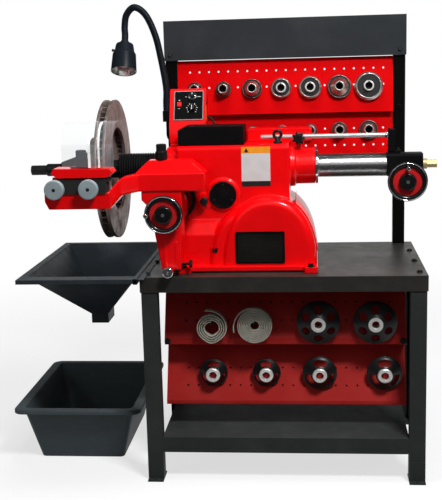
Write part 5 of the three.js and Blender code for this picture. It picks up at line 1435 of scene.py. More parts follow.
@dataclass
class Housing(Casting):
    """The lathe's main casting: gearbox, tapered front, motor dome, bosses and foot."""

    axis: Pair = (-80, 1011)
    left: float = -340
    right: float = 24
    front: float = -160
    back: float = 60
    top: float = 1089
    waist: float = 880
    fillet: float = 14
    lower_y: Pair = (-185, 120)
    lower_top: float = 851
    taper: float = 50
    base_x: Pair = (-340, 113)
    base_y: Pair = (-232, 152)
    base_z: Pair = (690, 705)
    foot: float = 45
    foot_reach: float = 20
    foot_bottom: float = 685.3
    dome_shape: Spot = (-42, 153, 233)
    dome_y: Pair = (-216, 126)
    dome_round: float = 26
    dome_power: float = 2.3
    skirt: Spot = (-66, 174, 214)
    skirt_y: Pair = (-201, 100)
    cross: Pair = (-344, 917)
    cross_radius: float = 66
    cover: Pair = (-192, 929)
    cover_ring: float = 53
    lobe: Pair = (-253, 911)
    drain: Pair = (-215, 752)

    def arch(self, shape: Spot, inset: float) -> Points:
        """Half of a superellipse: |x/a|^p + |z/b|^p = 1 above the base, drawn in by an inset.

        Args:
            shape: its middle along X, half its width and its height over the base.
            inset: how far it is drawn in.

        Returns:
            The outline's points of X and Z.
        """
        centre, half, height = shape
        angle, power = np.linspace(0, np.pi, 65), 2 / self.dome_power
        x = centre + (half - inset) * np.sign(np.cos(angle)) * np.abs(np.cos(angle)) ** power
        z = self.base_z[0] + (height - inset) * np.sin(angle) ** power
        foot = self.base_z[0] + 1
        return np.vstack([np.stack([x, z], axis=1), [[centre - half + inset, foot], [centre + half - inset, foot]]])

    def dome(self, shape: Spot, y: Pair) -> Skin:
        """A dome: arches whose inset follows a quarter circle at each end."""
        t = np.linspace(0, np.pi / 2, 7)
        inset, run = self.dome_round * (1 - np.sin(t)), self.dome_round * (1 - np.cos(t))
        ends = [(i, y[0] + r) for i, r in zip(inset, run)] + [(i, y[1] - r) for i, r in zip(inset[::-1], run[::-1])]
        return lofted([laid(Axis.Y, place, *self.arch(shape, drawn).T) for drawn, place in ends])

    def lower(self) -> Skin:
        """The gearbox's lower half, which tapers from the wide foot to the gearbox."""
        wide, narrow = self.lower_y, (self.front, self.back)
        rows = [(self.base_z[0] + 1, wide), (self.lower_top - self.taper, wide), (self.lower_top, narrow),
                (self.waist + 24, narrow)]
        x = (self.base_x[0], self.dome_shape[0])
        return lofted([laid(Axis.Z, z, *rounded_rectangle(x, y, 8, 4).T) for z, y in rows])

    def drum(self, axis: Axis, ends: Pair, radius: float, centre: Pair) -> Skin:
        """A short closed cylinder with rounded edges."""
        return revolved(axis, [(ends[0], 0), (ends[0], radius), (ends[1], radius), (ends[1], 0)], centre, 96, 4)

    def build(self) -> None:
        """Casts the housing, and adds its plinth, feet, bolts and drain plug."""
        front, low, right, y = self.front, self.lower_y[0], self.right - 5, self.axis[0]
        gearbox = rounded_rectangle((front, self.back), (self.waist, self.top), self.fillet)
        skins = [
            extruded(Axis.X, gearbox, (self.left, self.right)),
            self.lower(),
            self.dome(self.dome_shape, self.dome_y),
            self.dome(self.skirt, self.skirt_y),
            self.drum(Axis.X, (-381, self.left + 5), 70, self.axis),
            self.drum(Axis.X, (right, 43), 66, self.axis),
            self.drum(Axis.X, (right, 108), 58.5, self.axis),
            boxed((-381, self.left + 8), (-20, self.back), (1046, self.top)),
            self.drum(Axis.Y, (front, 40), self.cross_radius, self.cross),
            boxed((-385, -331), (-212, front), (self.base_z[0], 738)),
            self.drum(Axis.Y, (front - 6, front + 8), self.cover_ring, self.cover),
            self.drum(Axis.Y, (front - 5, front + 8), 26, self.lobe),
            self.drum(Axis.Y, (low - 8, low + 8), 20, self.drain),
            boxed((44, 64), (y - 18, y + 18), (1050, 1118)),
        ]
        self.cast("housing_casting", skins, RED, "main_housing")
        plate = rounded_rectangle(self.base_x, self.base_y, 14, 6)
        self.add("housing_plinth", extruded(Axis.Z, plate, self.base_z), RED, edge=Edge.PRESSED)
        near = (self.base_y[0] - self.foot_reach, self.base_y[0] + 62)
        far = (self.base_y[1] - 62, self.base_y[1] + self.foot_reach)
        seat = self.base_z[1] + 0.2
        for i, (y, bolt) in enumerate([(near, near[0] + 11)] * 2 + [(far, far[1] - 11)] * 2):
            x = self.base_x[1] - self.foot if i % 2 else self.base_x[0]
            pad = extruded(Axis.Z, rounded_rectangle((x, x + self.foot), y, 9, 5), (self.foot_bottom, seat))
            self.add(f"housing_foot_{i}", pad, RED, edge=Edge.PRESSED)
            self.screw(f"foot_bolt_{i}", Axis.Z, (x + self.foot / 2, bolt, seat), 1, 15, 7)
        self.screw("drain_plug", Axis.Y, (self.drain[0], low - 8, self.drain[1]), -1, 17, 5)


@dataclass
class Trim(Assembly):
    """Covers, grille, lifting eye, engage knob, bushes and the blank plate on the main casting."""

    front: float = -160
    cover: Pair = (-192, 929)
    cover_radius: float = 44
    cover_y: Pair = (-172.3, -166.3)
    screw_circle: float = 34
    knob: Pair = (-253, 911)
    eye: Pair = (-14, -112)
    eye_foot: float = 1089.3
    label_x: Pair = (-130, -37)
    label_z: Pair = (955, 1083)
    grille_x: Pair = (-151, 8)
    grille_z: Pair = (711, 816)
    grille_y: float = -216
    bars: tuple[int, int] = (30, 20)

    def gear_cover(self) -> None:
        """A black round cover with a turned rim and three screws."""
        low, high = self.cover_y
        face, radius = low + 0.8, self.cover_radius
        self.turned("gear_cover_plate", Axis.Y, self.cover, [
            (high, 0), (high, radius), (low + 1.5, radius), (low, radius - 2), (low, radius - 5), (face, radius - 6),
            (face, 14), (low + 0.2, 12), (low + 0.2, 0),
        ], COVER_BLACK, 0.8, 128, 3, node="gear_cover")
        for i, (x, z) in enumerate(circle(self.screw_circle, 3) @ np.array([[0, 1], [-1, 0]])):
            self.screw(f"gear_cover_screw_{i}", Axis.Y, (self.cover[0] + x, face, self.cover[1] + z), -1, 6, 1.6)

    def lifting_eye(self) -> None:
        """A forged ring, a torus of round section, on a collar."""
        x, y = self.eye
        foot = self.eye_foot
        ring = circle(5, 24, (y, 12))
        hoop = revolved(Axis.Y, np.vstack([ring, ring[:1]]), (x, foot + 28), 64)
        collar = [(foot, 0), (foot, 15), (foot + 6, 15), (foot + 9, 9), (foot + 16, 7), (foot + 18, 0)]
        self.add("eye_ring", Skin.joined(hoop, revolved(Axis.Z, collar, self.eye, 48, 2)), OXIDE, node="lifting_eye")

    def engage_knob(self) -> None:
        """A pull knob with a waist and a fluted edge."""
        near, far = self.front - 29, self.front + 9
        self.turned("engage_knob_turned", Axis.Y, self.knob, [
            (near, 0), (near, 10), (near + 3, 13), (near + 17, 13), (near + 21, 8), (near + 22, 5), (far, 5), (far, 0),
        ], GLOSS_BLACK, 1.5, wave=fluted(96, 12, 0.03), body="engage_knob_body", node="engage_knob")

    def bushes(self) -> None:
        """The chromed seal ring with its bush, and the brass bush inside the left boss."""
        self.turned("seal_ring", Axis.X, SPINDLE_LINE, [
            (60, 38.5), (60, 49), (108.4, 49), (108.4, 59.5), (116, 59), (116.6, 54), (113.5, 50), (113.5, 44),
            (116.5, 42), (116.5, 38.5), (60, 38.5),
        ], CHROME, 0.8, 128, 3, node="spindle_bush_right")
        self.dressed("spindle_bush_left", BRASS)

    def grille(self) -> None:
        """A black pressed plate with rows of slots over a dark sheet of painted shade for the motor bay behind, and
        four corner screws.
        """
        x, z = self.grille_x, self.grille_z
        back = self.grille_y - 0.3
        near = back - 3
        within = partial(drawn_in, x, z)
        # painted shade: a dark sheet behind the wires stands for the shadowed motor bay
        self.add("grille_backing", extruded(Axis.Y, rounded_rectangle(*within(2), 5), (back - 0.6, back)), COVER_BLACK)
        bars = [np.linspace(*ends, count * 2).reshape(-1, 2) for ends, count in zip(within(9), self.bars)]
        wide, high = within(5)
        wires = [boxed((a, b), (back - 1.4, back - 0.5), high) for a, b in bars[0]]
        wires += [boxed(wide, (back - 2, back - 1.1), (a, b)) for a, b in bars[1]]
        self.add("grille_mesh", Skin.joined(*wires), GRILLE_BLACK)
        outer, inner = rounded_rectangle(x, z, 6, 5), rounded_rectangle(*within(8), 3, 5)
        loop = [laid(Axis.Y, y, *o.T) for o, y in ((outer, back), (outer, near), (inner, near), (inner, back))]
        rim = Skin.grid(np.stack(loop), wrap_rows=True, wrap_columns=True)
        self.add("grille_frame", rim, COVER_BLACK, node="motor_grille", edge=Edge.MACHINED)
        head = [(near + 0.6, 0), (near + 0.6, 3), (near + 0.1, 2.6), (near, 0)]
        for i in range(4):
            spot = (wide[0] if i % 2 else wide[1], high[0] if i < 2 else high[1])
            self.turned(f"grille_screw_{i}", Axis.Y, spot, head, OXIDE, 0.3, 24)

    def label(self) -> None:
        """A blank pale plate with an amber band and a plain triangle above and a black band below."""
        y = (self.front - 0.7, self.front + 0.4)
        x, z = self.label_x, self.label_z
        bands = [("plate_pale", PALE, (z[0] + 17, z[1] - 21)), ("plate_amber", AMBER, (z[1] - 21, z[1])),
                 ("plate_dark", LABEL_BLACK, (z[0], z[0] + 17))]
        for name, finish, height in bands:
            self.add(name, boxed(x, y, height), finish, edge=0.15)
        left, low = x[0] + 8, z[1] - 18
        sign = extruded(Axis.Y, [(left, low), (left + 16, low), (left + 8, low + 14)], (y[0] - 0.15, y[0] + 0.1))
        self.add("plate_triangle", sign, LABEL_BLACK)

    def build(self) -> None:
        """Builds every cover and fitting of the casting."""
        self.gear_cover()
        self.lifting_eye()
        self.engage_knob()
        self.bushes()
        self.grille()
        self.label()
        self.softened("belt_cover", PALE_RED)
        self.softened("rod_cover", COVER_BLACK, Edge.PRESSED)
        self.softened("top_cover", RED, Edge.PRESSED)


@dataclass
class Drive(Assembly):
    """The motor, pulleys and belt inside the dome."""

    def build(self) -> None:
        """The hidden drive keeps its CAD shapes and gets its finishes."""
        for node in ("drive_motor", "motor_pulley", "drive_sleeve"):
            self.dressed(node, MOTOR_IRON)
        self.dressed("drive_belt", RUBBER)


@dataclass
class Spindle(Assembly):
    """The spindle, the arbor with its clamped hubs, and the worn brake disc."""

    body: str = "spindle_group"
    centre: Pair = SPINDLE_LINE
    plate_right: float = -547
    plate: float = 10
    slot: float = 17
    outer: float = 229
    inner: float = 138
    hat: float = 106
    hat_wall: float = 8
    hat_depth: float = 48
    hat_floor: float = 9
    throat: float = 14
    hole: float = 34
    studs: int = 5
    stud_circle: float = 57
    vanes: int = 48
    vane: float = 5
    bore: float = 13.2
    arbor: float = 12.7
    arbor_face: float = 453.3

    def disc(self) -> None:
        """Two friction plates and a hat, joined by vanes, and black discs of painted shade for the stud holes round the
        hat's face.
        """
        outer, inner, hat = self.outer, self.inner, self.hat
        right = self.plate_right
        slot_right = right - self.plate
        slot_left = slot_right - self.slot
        band = slot_left - self.plate
        left = band - self.hat_depth
        floor, inside = left + self.hat_floor, hat - self.hat_wall
        near = [(slot_right, inner), (slot_right, outer), (right - 1, outer), (right, outer - 2), (right, inner),
                (slot_right, inner)]
        far = [
            (left, self.hole), (left, hat), (band - self.throat, hat), (band, inner), (band, outer - 2),
            (band + 1, outer), (slot_left, outer), (slot_left, inner), (band, inside), (floor, inside),
            (floor, self.hole), (left, self.hole),
        ]
        skins = [revolved(Axis.X, near, self.centre, 160, 1, 2), revolved(Axis.X, far, self.centre, 160, 2.5, 3)]
        y, z = self.centre
        half = self.vane / 2
        rib = boxed((slot_left - 1, slot_right + 1), (y - half, y + half), (z + inner + 4, z + outer - 4))
        skins += [rib.turned(turn(Axis.X, i / self.vanes * 2 * math.pi), (0, y, z)) for i in range(self.vanes)]
        self.add("rotor", Skin.joined(*skins), ROTOR, node="brake_disc", smooth=35)
        hole = [(left - 0.25, 0), (left - 0.25, 6.5), (left + 0.3, 7), (left + 0.3, 0)]
        for i, (y, z) in enumerate(circle(self.stud_circle, self.studs) @ np.array([[0, 1], [-1, 0]]) + self.centre):
            self.turned(f"stud_hole_{i}", Axis.X, (y, z), hole, HOLE_SHADE_BLACK, 0.2, 32, 2)

    def build(self) -> None:
        """Turns each piece of the line about its axis."""
        bore, line, face = self.bore, self.centre, self.arbor_face
        self.turned("spindle_bar", Axis.X, line, [
            (-505, bore), (-505, 24), (-100, 24), (-100, 38), (338, 38), (338, 20), (451, 20), (451, bore),
            (-505, bore),
        ], STEEL, 0.8, steps=3, node="spindle")
        bar = revolved(Axis.X, [(-833, 0), (-833, self.arbor), (469, self.arbor), (469, 0)], line, 64, 1)
        washer = revolved(Axis.X, [(face, 0), (face, 17), (face + 15, 17), (face + 15, 0)], line, 64, 1)
        drive_hex = extruded(Axis.X, circle(14, 6, line), (face + 14, face + 47))
        self.add("arbor_bar", Skin.joined(bar, washer, drive_hex), BRASS, node="arbor")
        collar = revolved(Axis.X, [
            (-793, bore), (-793, 18), (-789, 21), (-745, 21), (-741, 18), (-741, bore), (-793, bore),
        ], line, 96, 1.2)
        head = [(-845, bore), (-845, 15.5), (-843, 17.5), (-791.5, 17.5), (-791.5, bore), (-845, bore)]
        six = 1 - 0.1 * np.abs(np.sin(np.arange(96) / 96 * 2 * np.pi * 3)) ** 1.5
        nut = revolved(Axis.X, head, line, 96, wave=six)
        self.add("arbor_nut_turned", Skin.joined(collar, nut), OXIDE, node="arbor_nut")
        self.turned("hub_cone_turned", Axis.X, line, [
            (-740.7, bore), (-740.7, 26), (-738, 27), (-652.6, 57), (-646, 58), (-632.6, 58), (-632.3, bore),
            (-740.7, bore),
        ], OXIDE, 1.2, steps=3, node="hub_cone")
        self.turned("hub_bell_turned", Axis.X, line, [
            (-622.7, bore), (-622.7, 72), (-597, 72), (-592, 70), (-571, 30), (-542, 30), (-537, 36), (-505.3, 36),
            (-505.3, bore), (-622.7, bore),
        ], OXIDE, 1.5, steps=3, node="hub_bell")
        self.disc()


@dataclass
class Boots(Assembly):
    """The two ribbed rubber boots: ends along the axis, root and crest radius, and ribs."""

    spindle: tuple[float, float, float, float, int] = (-543, -381.3, 40, 52, 19)
    cross: tuple[float, float, float, float, int] = (-189.7, -160.3, 55, 64, 4)
    wall: float = 2.2

    def bellows(self, ends: tuple[float, float, float, float, int]) -> Points:
        """A bellows profile: between the cuffs the radius swings from root to crest.

        The swing is a power just below 1 of a rectified sine, which gives round crests and tight roots.
        """
        low, high, root, crest, ribs = ends
        cuff = (high - low) / (ribs * 2 + 2)
        share = np.linspace(0, ribs, ribs * 12 + 1)
        wave = np.abs(np.sin(np.pi * share)) ** 0.9
        along = low + cuff + share / ribs * (high - low - 2 * cuff)
        skin = np.stack([along, root + (crest - root) * wave], axis=1)
        inside = root - self.wall
        return np.vstack([[low, root], skin, [high, root], [high, inside], [low, inside], [low, root]])

    def build(self) -> None:
        """Turns both bellows."""
        boot = self.turned("spindle_bellows", Axis.X, SPINDLE_LINE, self.bellows(self.spindle), RUBBER,
                           node="spindle_boot", smooth=60, free=True)
        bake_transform(boot)
        cross = self.bellows(self.cross)
        self.turned("cross_bellows", Axis.Y, (-344, 917), cross, RUBBER, node="cross_boot", smooth=60)


@dataclass
class Wheel(Assembly):
    """A handwheel with a rounded rim, a bright edge, a red recess and a hub, and its crank grip."""

    node: str = "cross_handwheel"
    body: str = "cross_wheel"
    grip_node: str = "cross_grip"
    centre: Pair = (-366, 890)
    face: float = -290
    radius: float = 61
    rim: float = 8.5
    hub: float = 29
    hub_length: float = 46
    reach: float = 30
    shaft: float = 9
    socket: float = 26
    inset: float = 10
    grip_circle: float = 52
    grip_angle: float = 180

    def build(self) -> None:
        """Turns the rim, the recess, the hub and the grip about their own axes."""
        node, at, face, wide = self.node, self.centre, self.face, self.hub
        middle, front = face - self.reach, face - self.hub_length
        mean = self.radius - self.rim
        inner = mean - self.rim + 5
        ring = circle(self.rim, 32, (middle, mean))
        edge = circle(1.5, 12, (middle - self.rim * 0.86, mean + self.rim * 0.5))
        rim = revolved(Axis.Y, np.vstack([ring, ring[:1]]), at, 128)
        start, end = face - 1, face + self.socket - 1
        shaft = revolved(Axis.Y, [(start, 0), (start, self.shaft), (end, self.shaft), (end, 0)], at, 48)
        self.add(f"{node}_rim", Skin.joined(rim, shaft), WHEEL_BLACK, node=node)
        self.turned(f"{node}_edge", Axis.Y, at, np.vstack([edge, edge[:1]]), CHROME, count=128)
        self.turned(f"{node}_web", Axis.Y, at, [
            (middle + 1, wide - 6), (middle - 1, wide), (middle, inner), (middle + 5, inner),
            (middle + 5 + self.inset, wide - 4), (middle + 1, wide - 6),
        ], WHEEL_RED, 2)
        self.turned(f"{node}_hub", Axis.Y, at, [
            (front, 0), (front, wide - 4), (front + 3, wide - 1), (front + 10, wide), (face - self.inset, wide),
            (face - 0.4, wide - 8), (face - 0.4, 0),
        ], WHEEL_BLACK, 2.5)
        nut = extruded(Axis.Y, hexagon(9) + np.array(at), (front - 0.05, front + 4))
        seat = revolved(Axis.Y, [(front - 0.02, 0), (front - 0.02, 6), (front + 2, 6.4), (front + 2, 0)], at, 48, 0.5)
        self.add(f"{node}_bolt", Skin.joined(nut, seat), HUB_STEEL, edge=Edge.CUT)
        self.crank(middle - self.rim - 0.3)

    def crank(self, foot: float) -> None:
        """The crank grip from its foot: a turned handle with a swelling middle on its pin."""
        angle = math.radians(self.grip_angle)
        at = (self.centre[0] + self.grip_circle * math.cos(angle), self.centre[1] + self.grip_circle * math.sin(angle))
        end, grip = foot - 24, self.grip_node
        self.turned(f"{grip}_handle", Axis.Y, at, [
            (end, 0), (end, 5), (end + 4, 8), (end + 13, 7.6), (foot - 3, 6), (foot, 5), (foot, 0),
        ], GRIP_BLACK, 1.8, 64, body=f"{grip}_body", node=grip)
        collar = [(foot + 0.1, 0), (foot + 0.1, 5), (foot + 9, 6), (foot + 9, 0)]
        self.turned(f"{grip}_collar", Axis.Y, at, collar, CHROME, 1, 48)


@dataclass
class FeedHead(Assembly):
    """The black feed head on the spindle's end, the stop rod and the star knob."""

    body: str = "feed_carriage"
    axis_y: float = -80
    rod_z: float = 1107
    rod_radius: float = 7
    rod_left: float = -70
    bracket: Pair = (343, 365)
    bracket_z: Pair = (1048.3, 1127)
    star: Pair = (54, 1104)
    lobes: int = 7

    def build(self) -> None:
        """Rounds the head, and turns the rod and the knob."""
        self.softened("feed_head", COVER_BLACK, 3)
        y, z, end, thick = self.axis_y, self.rod_z, self.bracket[0] + 1, self.rod_radius
        rod = [(self.rod_left, 0), (self.rod_left, thick), (end, thick), (end, 0)]
        self.turned("stop_rod_bar", Axis.X, (y, z), rod, ROD_STEEL, 1, 48, node="stop_rod")
        depth, foot_z = (y - 16, y + 16), (self.bracket_z[0], self.bracket_z[0] + 8)
        upright = extruded(Axis.X, rounded_rectangle(depth, self.bracket_z, 5), self.bracket)
        foot = boxed((self.bracket[0], self.bracket[0] + 40), depth, foot_z)
        self.add("stop_bracket", Skin.joined(upright, foot), COVER_BLACK, edge=Edge.SHEET)
        self.screw("bracket_bolt", Axis.Z, (375, y, foot_z[1]), 1, 11, 5)
        self.screw("rod_nut", Axis.X, (self.bracket[0], y, z), -1, 17, 7, CHROME)
        back, wave = y - 24, 0.85 + 0.15 * np.cos(self.lobes * np.arange(168) / 168 * 2 * np.pi)
        head = [(back - 20, 0), (back - 20, 16), (back - 17, 22), (back - 4, 23), (back, 18), (back, 0)]
        stem = revolved(Axis.Y, [(back - 1, 0), (back - 1, 4), (y - 9, 4), (y - 9, 0)], self.star, 32)
        grip = Skin.joined(revolved(Axis.Y, head, self.star, 168, 2, wave=wave), stem)
        self.add("star_grip", grip, GLOSS_BLACK, "star_knob_body", "star_knob")


@dataclass
class CrossSlide(Casting):
    """The saddle with its ribbed column, and the chromed guide bar."""

    body: str = "cross_saddle"
    voxel: float = 1.9
    rounds: int = 4
    bar_centre: Pair = (-358, 706)
    boss: Pair = (-344, 917)

    def build(self) -> None:
        """Casts the saddle, and turns the bar and the thumb screw; the column widens from the foot to the block."""
        rows = [(707, (-382, -321), (-288, -215)), (824, (-401, -315), (-290, -205)), (906, (-406, -312), (-290, -205))]
        column = lofted([laid(Axis.Z, z, *rounded_rectangle(x, y, 5, 4).T) for z, x, y in rows])
        upper = extruded(Axis.Y, [
            (-406, 900), (-312, 900), (-312, 959.7), (-439, 959.7), (-439, 932), (-422.5, 915.5), (-406, 928),
        ], (-290, -205))
        flange = revolved(Axis.Y, [(-221, 0), (-221, 61), (-190, 61), (-190, 0)], (-364, 897), 96, 3)
        ribs = [boxed((x, x + 8), (-291, -283), (715, 798)) for x in (-374, -337)]
        self.cast("saddle_casting", [upper, column, flange, *ribs], RED, "saddle")
        self.turned("ram_bar", Axis.Y, self.boss, [(-190.5, 0), (-190.5, 38), (20, 38), (20, 0)], STEEL, count=64)
        self.turned("guide_bar_turned", Axis.Y, self.bar_centre, [
            (-331, 0), (-329, 3.4), (-331, 4), (-331, 15), (-329, 17), (-160, 17), (-160, 0),
        ], CHROME, 0.4, steps=2, body=STAND, node="guide_bar")
        self.turned("thumb_screw", Axis.X, (-262, 722), [
            (-324, 0), (-324, 4), (-297, 4), (-296.5, 12), (-288, 12), (-287, 9), (-287, 0),
        ], DARK_CHROME, 0.8, wave=fluted(96, 16, 0.04))
        stud = [(958, 0), (958, 8.7), (1096, 8.7), (1096, 0)]
        self.turned("swivel_stud", Axis.Z, (-376, -248), stud, OXIDE, 1, 32)


@dataclass
class Cutter(Casting):
    """The cutter arm, its clamp, the two tool bars with their micrometer knobs, and the chip guard."""

    body: str = "arm"
    voxel: float = 2.1
    rounds: int = 4
    bars: Pair = (-681, -576)
    bar_z: float = 986
    clamp: Pair = (-608, -360)
    pivot: Pair = (-376, -248)
    nut: Pair = (19, 16)
    guard_x: Pair = (-663, -503)
    guard_front: float = -384
    guard_foot: float = 1047.3
    guard_bend: float = 82
    guard_bend_z: float = 1100
    guard_back: float = -254
    guard_sheet: float = 2.5

    def castings(self) -> list[Skin]:
        """The block over the saddle with its chamfered crown, the swan neck and the jaw."""
        low, high = ((-459, -235), (-295, -205)), ((-416, -281), (-262, -218))
        crown = [(*low, 960), (*low, 1014), (*high, 1055)]
        neck = [
            (-445, (-295, -205), (960, 1014)), (-490, (-350, -272), (956, 1010)), (-518, (-402, -325), (922, 978)),
            (-527, (-402, -345), (922, 972)),
        ]
        jaw = [(-707, 922), (-514, 922), (-514, 972), (-719, 972), (-719, 946)]
        return [
            lofted([laid(Axis.Z, z, *rounded_rectangle(x, y, 5, 6).T) for x, y, z in crown]),
            lofted([laid(Axis.X, x, *rounded_rectangle(y, z, 6, 4).T) for x, y, z in neck]),
            extruded(Axis.Y, jaw, (-402, -345)),
        ]

    def knob(self, name: str, at: Pair, low: float, body: str, node: str) -> None:
        """A clamp nut: a round collar, a slot in its top and a narrower fluted neck."""
        radius, neck = self.nut
        self.turned(name, Axis.Z, at, [
            (low, 0), (low, radius - 1.5), (low + 1.5, radius), (low + 25, radius), (low + 28, neck), (low + 47, neck),
            (low + 50, neck - 3), (low + 50, 5), (low + 48, 4), (low + 48, 0),
        ], DARK_CHROME, 1.2, wave=fluted(96, 8, 0.035), body=body, node=node)

    def micrometer(self, side: str, at: Pair) -> None:
        """An aluminium knob with a knurled edge, a stepped face and a small centre hole, filled by a black plug of
        painted shade.
        """
        knurl = 1 - 0.012 * np.abs(np.sin(np.arange(180) / 180 * 2 * np.pi * 30))
        self.turned(f"micrometer_{side}_knob", Axis.Y, at, [
            (-435.6, 4), (-435.6, 27), (-434.3, 30), (-416, 30), (-415, 26), (-411, 26), (-411, 4), (-435.6, 4),
        ], ALUMINIUM, 1, 180, 3, knurl, body=f"{side}_micrometer", node=f"micrometer_{side}")
        plug = [(-435.9, 0), (-435.9, 5.4), (-435, 5.6), (-414, 4.2), (-414, 0)]
        self.turned(f"micrometer_{side}_stem", Axis.Y, at, plug, HOLE_SHADE_BLACK, 0.4, 32, body=f"{side}_bar")

    def tool_bar(self, side: str, at: Pair, inward: int) -> None:
        """A barrel, a square shank with chamfered edges and a three-sided carbide tip."""
        x, z = at
        barrel = revolved(Axis.Y, [(-404, 0), (-404, 16), (-402, 18), (-350, 18), (-348, 16), (-348, 0)], at, 96, 0.8)
        shank = extruded(Axis.Y, rounded_rectangle((x - 8, x + 8), (z - 8, z + 8), 2), (-349, -321))
        stem = revolved(Axis.Y, [(-428, 0), (-428, 5.4), (-403, 5.4), (-403, 0)], at, 32)
        self.add(f"tool_bar_{side}_steel", Skin.joined(barrel, shank, stem), OXIDE, f"{side}_bar", f"tool_bar_{side}")
        near, far, shoulder = x + inward * 6, x + inward * 15, x + inward * 14
        tip = [(near, -330), (shoulder, -328.5), (far, -325), (shoulder, -321.6), (near, -321.2)]
        self.add(f"tool_tip_{side}", extruded(Axis.Z, tip, (z - 4, z + 4)), BRASS_TIP, f"{side}_bar", edge=0.3)

    def guard(self) -> None:
        """The clear sheet: upright, then bent back through a quarter circle, with a foot under the clamp nut."""
        front, foot, bend, thin = self.guard_front, self.guard_foot, self.guard_bend, self.guard_sheet
        angle = np.pi - np.arange(41) / 40 * np.pi / 2
        around = np.stack([np.cos(angle), np.sin(angle)], axis=1)

        def face(inset: float) -> Points:
            """One face of the sheet, an inset from its outer face."""
            arc = np.array([front + bend, self.guard_bend_z]) + (bend - inset) * around
            return np.vstack([[front + inset, foot], arc, [self.guard_back, self.guard_bend_z + bend - inset]])

        outer, inner = face(0), face(thin)
        outline = np.vstack([outer, inner[::-1]])
        pane = Skin.grid(laid(Axis.X, np.array(self.guard_x)[:, None], *outline.T[:, None]), wrap_columns=True)
        sides = [Skin.grid(np.stack([laid(Axis.X, x, *outer.T), laid(Axis.X, x, *inner.T)])) for x in self.guard_x]
        self.add("guard_pane", Skin.joined(pane, *sides), CLEAR, node="chip_guard")
        plate = extruded(Axis.Z, rounded_rectangle((-640, -578), (front + 1, -336), 3), (foot, foot + thin))
        self.add("guard_foot", plate, OXIDE, edge=Edge.CUT)

    def build(self) -> None:
        """Casts the arm, and adds what is clamped to it."""
        self.cast("arm_casting", self.castings(), RED, "cutter_arm")
        stud = [(972, 0), (972, 7.5), (1090, 7.5), (1090, 0)]
        self.turned("clamp_stud", Axis.Z, self.clamp, stud, OXIDE, count=32)
        # painted shade: black blocks under the clamp plate stand for the arm's inside between the tool bars, black with
        # its shade
        shade_blocks = [boxed(x, (-406, -343), (969, 1004.1)) for x in ((-704, -701.5), (-661, -600), (-555.5, -527))]
        self.add("tool_bed", Skin.joined(*shade_blocks, boxed((-692, -520), (-394, -345), (1004.6, 1014))), BED_SHADE_BLACK)
        self.softened("clamp_plate", RED, 2.5)
        self.knob("arm_nut_turned", self.pivot, 1055.3, "arm_nut", "arm_clamp_nut")
        self.knob("clamp_nut_turned", self.clamp, 1050.1, "plate_nut", "clamp_nut")
        for side, x, inward in (("left", self.bars[0], 1), ("right", self.bars[1], -1)):
            self.micrometer(side, (x, self.bar_z))
            self.tool_bar(side, (x, self.bar_z), inward)
        self.guard()


